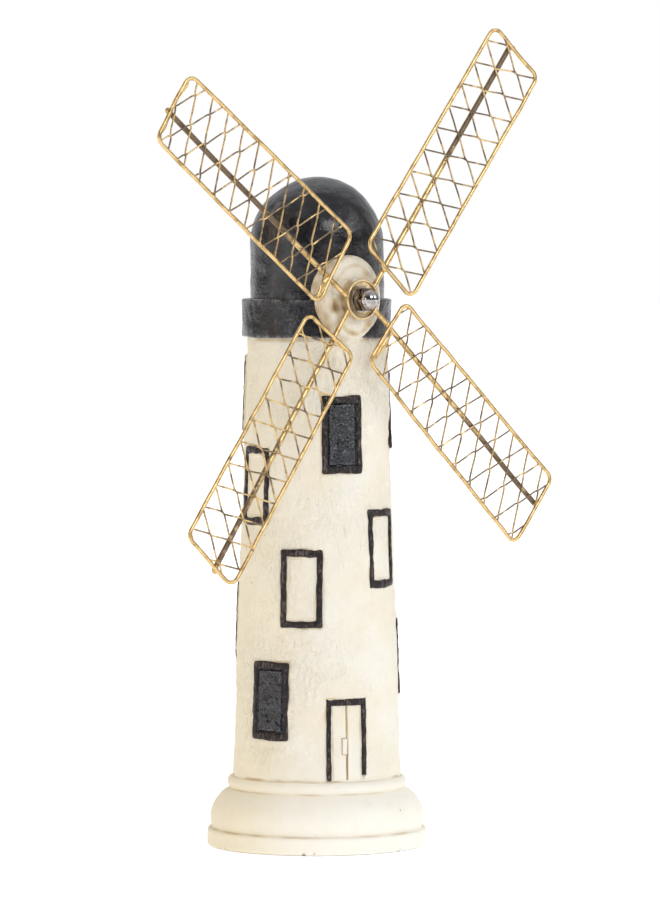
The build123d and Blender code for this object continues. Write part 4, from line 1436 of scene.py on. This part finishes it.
cup_bore = (box_mm("shaft_screw")[1][2] - box_mm("shaft_screw")[0][2]) / 2 + 0.08
rim_middle = (HUB_RADIUS - CUP_RIM, cup_high - CUP_RIM)
rim_turn = np.radians(np.linspace(-55, 215, 22))
rim_roll = rim_middle + CUP_RIM * np.stack([np.cos(rim_turn), np.sin(rim_turn)], axis=-1)
cup_outline = np.concatenate(
    [
        evenly([(cup_bore, cup_low + 0.02), cup_point(1.3, 0.02)], 0.5),
        arc_through(cup_point(0.8, 0.05), cup_point(0.35, 0.4), cup_point(0.22, 0.9), 6),
        rim_roll,
        evenly(
            [(rim_middle[0] - CUP_RIM, cup_high - 1.05), (5.0, cup_low + 1.42), (4.6, cup_low + 1.22)], 0.3
        ),
        evenly([(4.3, cup_low + 1.16), (cup_bore, cup_low + 1.16)], 0.5),
    ]
)
cup_sheet = about_shaft((cup_outline[:, :1], cup_outline[:, 1:]), 120)
cup_dents = 0.07 * unevenness(cup_sheet, 4.5, 601)
cup_sheet[..., 1] += cup_dents * (cup_outline[:, 1:] < cup_high - 0.3)
depth = cup_high - cup_outline[:, 1:]
inside = (cup_outline[:, :1] < HUB_RADIUS - 1.0) & (cup_outline[:, 1:] > cup_low + 1.0)
cup_age = np.where(inside, 0.05 + 0.2 * depth, 0.35 * smooth_step(depth, 0.5, 1.5))
cup_age = cup_age + 0.2 * unevenness(cup_sheet, 4, 602)
hub = Shell()
hub.add(cup_sheet, wrap_rows=True, age=cup_age)
place(hub.build("hub_cup_dish", gilt_hub), "rotor", "gilt_hub", "hub_cup")

# %% Acorn nut
NUT_COLUMNS = 192
NUT_FLATS = 8.0
# The cone starts at this radius and widens this much for each millimetre of height.
CONE_START, CONE_SLOPE = 3.72, 1.15
NUT_CORNERS = 1.135
nut_low, nut_high = -box_mm("acorn_nut")[1][1], -box_mm("acorn_nut")[0][1]
DOME_OF_NUT = 3.62
dome_middle = nut_high - DOME_OF_NUT - 0.02
hex_top = dome_middle - 0.35
nut_turn = np.linspace(0, 360, NUT_COLUMNS, endpoint=False)
hexagon = NUT_FLATS / 2 / np.cos(np.radians((nut_turn % 60) - 30))
hexagon = np.minimum(hexagon, NUT_FLATS / 2 * NUT_CORNERS)
lower_cone = np.linspace(nut_low + 0.03, nut_low + 0.75, 8)
upper_cone = np.linspace(hex_top - 0.85, hex_top, 9)
reaches = np.concatenate([[nut_low + 0.02], lower_cone, upper_cone])
cone = CONE_START + CONE_SLOPE * np.minimum(reaches - nut_low, hex_top - reaches)
cone[0] = cup_bore
body_rings = np.minimum(hexagon[None, :], cone[:, None])
collar = np.array([(3.45, 0.02), (3.30, 0.10), (3.28, 0.24), (3.42, 0.33)]) + (0, hex_top)
dome_lift = np.radians(np.linspace(-4, 89.5, 40))
dome_rings = (0, dome_middle) + DOME_OF_NUT * np.stack([np.cos(dome_lift), np.sin(dome_lift)], axis=-1)
round_rings = np.concatenate([collar, dome_rings])
nut_radius = np.concatenate([body_rings, np.repeat(round_rings[:, :1], NUT_COLUMNS, axis=1)])
nut_reach = np.concatenate([reaches, round_rings[:, 1]])[:, None]
nut_sheet = about_shaft((nut_radius, nut_reach), NUT_COLUMNS)
nut = Shell()
# The hex and the collar are darker than the dome.
nut_dark_below_dome = np.where(nut_reach < dome_middle - 0.1, 0.8, 0.06) + 0.2 * unevenness(nut_sheet, 2.4, 611)
nut.add(nut_sheet, grime=nut_dark_below_dome.clip(0, 1))
place(nut.build("acorn_nut_chrome", chrome, 24), "figurine", "chrome", "acorn_nut")

# %% [markdown]
# ## Floor and light
# The figure stands on a plain white floor under soft light: a wide key from the front right, a
# weaker yellow one from the left, and two narrow faint ones that make the glints on paint and wire.

# %% Floor
FLOOR_RADIUS = 12.0
FLOOR_COLUMNS = 96
FLOOR_GLOW = 0.47
floor_turn = np.linspace(0, 2 * math.pi, FLOOR_COLUMNS, endpoint=False)
floor_rows = np.array([0.02, 0.3, 1.0, 3.0, FLOOR_RADIUS])
floor_mesh = bpy.data.meshes.new("floor")
floor_grid = np.stack(
    [
        floor_rows[:, None] * np.cos(floor_turn),
        floor_rows[:, None] * np.sin(floor_turn),
        np.zeros((len(floor_rows), len(floor_turn))),
    ],
    axis=-1,
)
floor_faces = sheet_faces(len(floor_rows), len(floor_turn), False, True)
floor_middle = list(range(FLOOR_COLUMNS))
floor_mesh.from_pydata(floor_grid.reshape(-1, 3).tolist(), [], [*floor_faces.tolist(), floor_middle])
floor = bpy.data.objects.new("floor", floor_mesh)
bpy.context.scene.collection.objects.link(floor)
floor_white = bpy.data.materials.new("floor_white")
floor_white.use_nodes = True
floor_look = floor_white.node_tree.nodes["Principled BSDF"].inputs
floor_look["Base Color"].default_value = (0.92, 0.92, 0.92, 1)
floor_look["Roughness"].default_value = 0.8
floor_look["Emission Color"].default_value = (1, 1, 1, 1)
floor_look["Emission Strength"].default_value = FLOOR_GLOW
floor_mesh.materials.append(floor_white)

# %% Lights
def sun(name, azimuth, elevation, strength, spread, colour):
    """A far soft light from a compass direction and height: its spread is the angle that it fills."""
    lamp = bpy.data.objects.new(name, bpy.data.lights.new(name, "SUN"))
    turn, lift = math.radians(azimuth), math.radians(elevation)
    towards = Vector((math.sin(turn) * math.cos(lift), -math.cos(turn) * math.cos(lift), math.sin(lift)))
    lamp.rotation_mode = "QUATERNION"
    lamp.rotation_quaternion = towards.to_track_quat("Z", "Y")
    lamp.data.energy = strength
    lamp.data.angle = math.radians(spread)
    lamp.data.color = colour
    bpy.context.scene.collection.objects.link(lamp)


sun("key", -12.0, 32.0, 0.92, 26.0, (0.96, 0.975, 1.0))
sun("fill", -118.0, 25.0, 0.36, 50.0, (1.0, 0.60, 0.20))
sun("glint_right", 30.0, 24.0, 0.28, 13.0, (0.93, 0.96, 1.0))
sun("glint_left", -86.0, 9.0, 0.22, 13.0, (0.95, 0.97, 1.0))

# %% [markdown]
# ## Room
# Metal and gloss show the room they stand in. The camera itself sees plain white. Everything else
# sees a dim room with a pale ceiling, a broad panel behind the figure, a bright one on the right and
# a weaker one on the left. Those make the light and dark lines along the wires and the bright edges
# of the cap.

# %% Room
world = bpy.data.worlds.new("room")
bpy.context.scene.world = world
world.use_nodes = True
room = world.node_tree
room.nodes.clear()


def room_node(kind, settings, inputs):
    """A node of the room's world: its settings, then its inputs, each a value or another node's socket."""
    made = room.nodes.new(kind)
    for key, value in settings.items():
        setattr(made, key, value)
    for key, value in inputs.items():
        if isinstance(value, bpy.types.NodeSocket):
            room.links.new(value, made.inputs[key])
        else:
            made.inputs[key].default_value = value
    return made


looking = room_node("ShaderNodeTexCoord", {}, {}).outputs["Generated"]


def panel(azimuth, elevation, inner, outer, strength):
    """Light inside a cone about a direction, fading from a strength to none between two half angles."""
    turn, lift = math.radians(azimuth), math.radians(elevation)
    towards = (math.sin(turn) * math.cos(lift), -math.cos(turn) * math.cos(lift), math.sin(lift))
    facing = room_node("ShaderNodeVectorMath", {"operation": "DOT_PRODUCT"}, {0: looking, 1: towards})
    limits = {"From Min": math.cos(math.radians(outer)), "From Max": math.cos(math.radians(inner))}
    values = {"Value": facing.outputs["Value"], **limits, "To Max": strength}
    return room_node("ShaderNodeMapRange", {"interpolation_type": "SMOOTHSTEP"}, values).outputs[0]


ROOM_BASE = 0.09
# Direction in degrees round from the front and up, full and fading half angles, strength.
PANELS = [
    (0, 90, 28, 55, 0.62),
    (141, 10, 40, 74, 0.7),
    (40, 30, 10, 24, 1.5),
    (-118, 20, 10, 26, 0.7),
]
total = ROOM_BASE
for panel_sizes in PANELS:
    total = room_node("ShaderNodeMath", {"operation": "ADD"}, {0: panel(*panel_sizes), 1: total}).outputs[0]
seen = room_node("ShaderNodeBackground", {}, {"Color": (1, 1, 1, 1), "Strength": 1.0})
lit = room_node("ShaderNodeBackground", {}, {"Color": (0.97, 0.98, 1.0, 1), "Strength": total})
path = room_node("ShaderNodeLightPath", {}, {})
by_ray = {0: path.outputs["Is Camera Ray"], 1: lit.outputs[0], 2: seen.outputs[0]}
either = room_node("ShaderNodeMixShader", {}, by_ray)
room_node("ShaderNodeOutputWorld", {}, {"Surface": either.outputs[0]})
bpy.context.scene.view_settings.view_transform = "Standard"
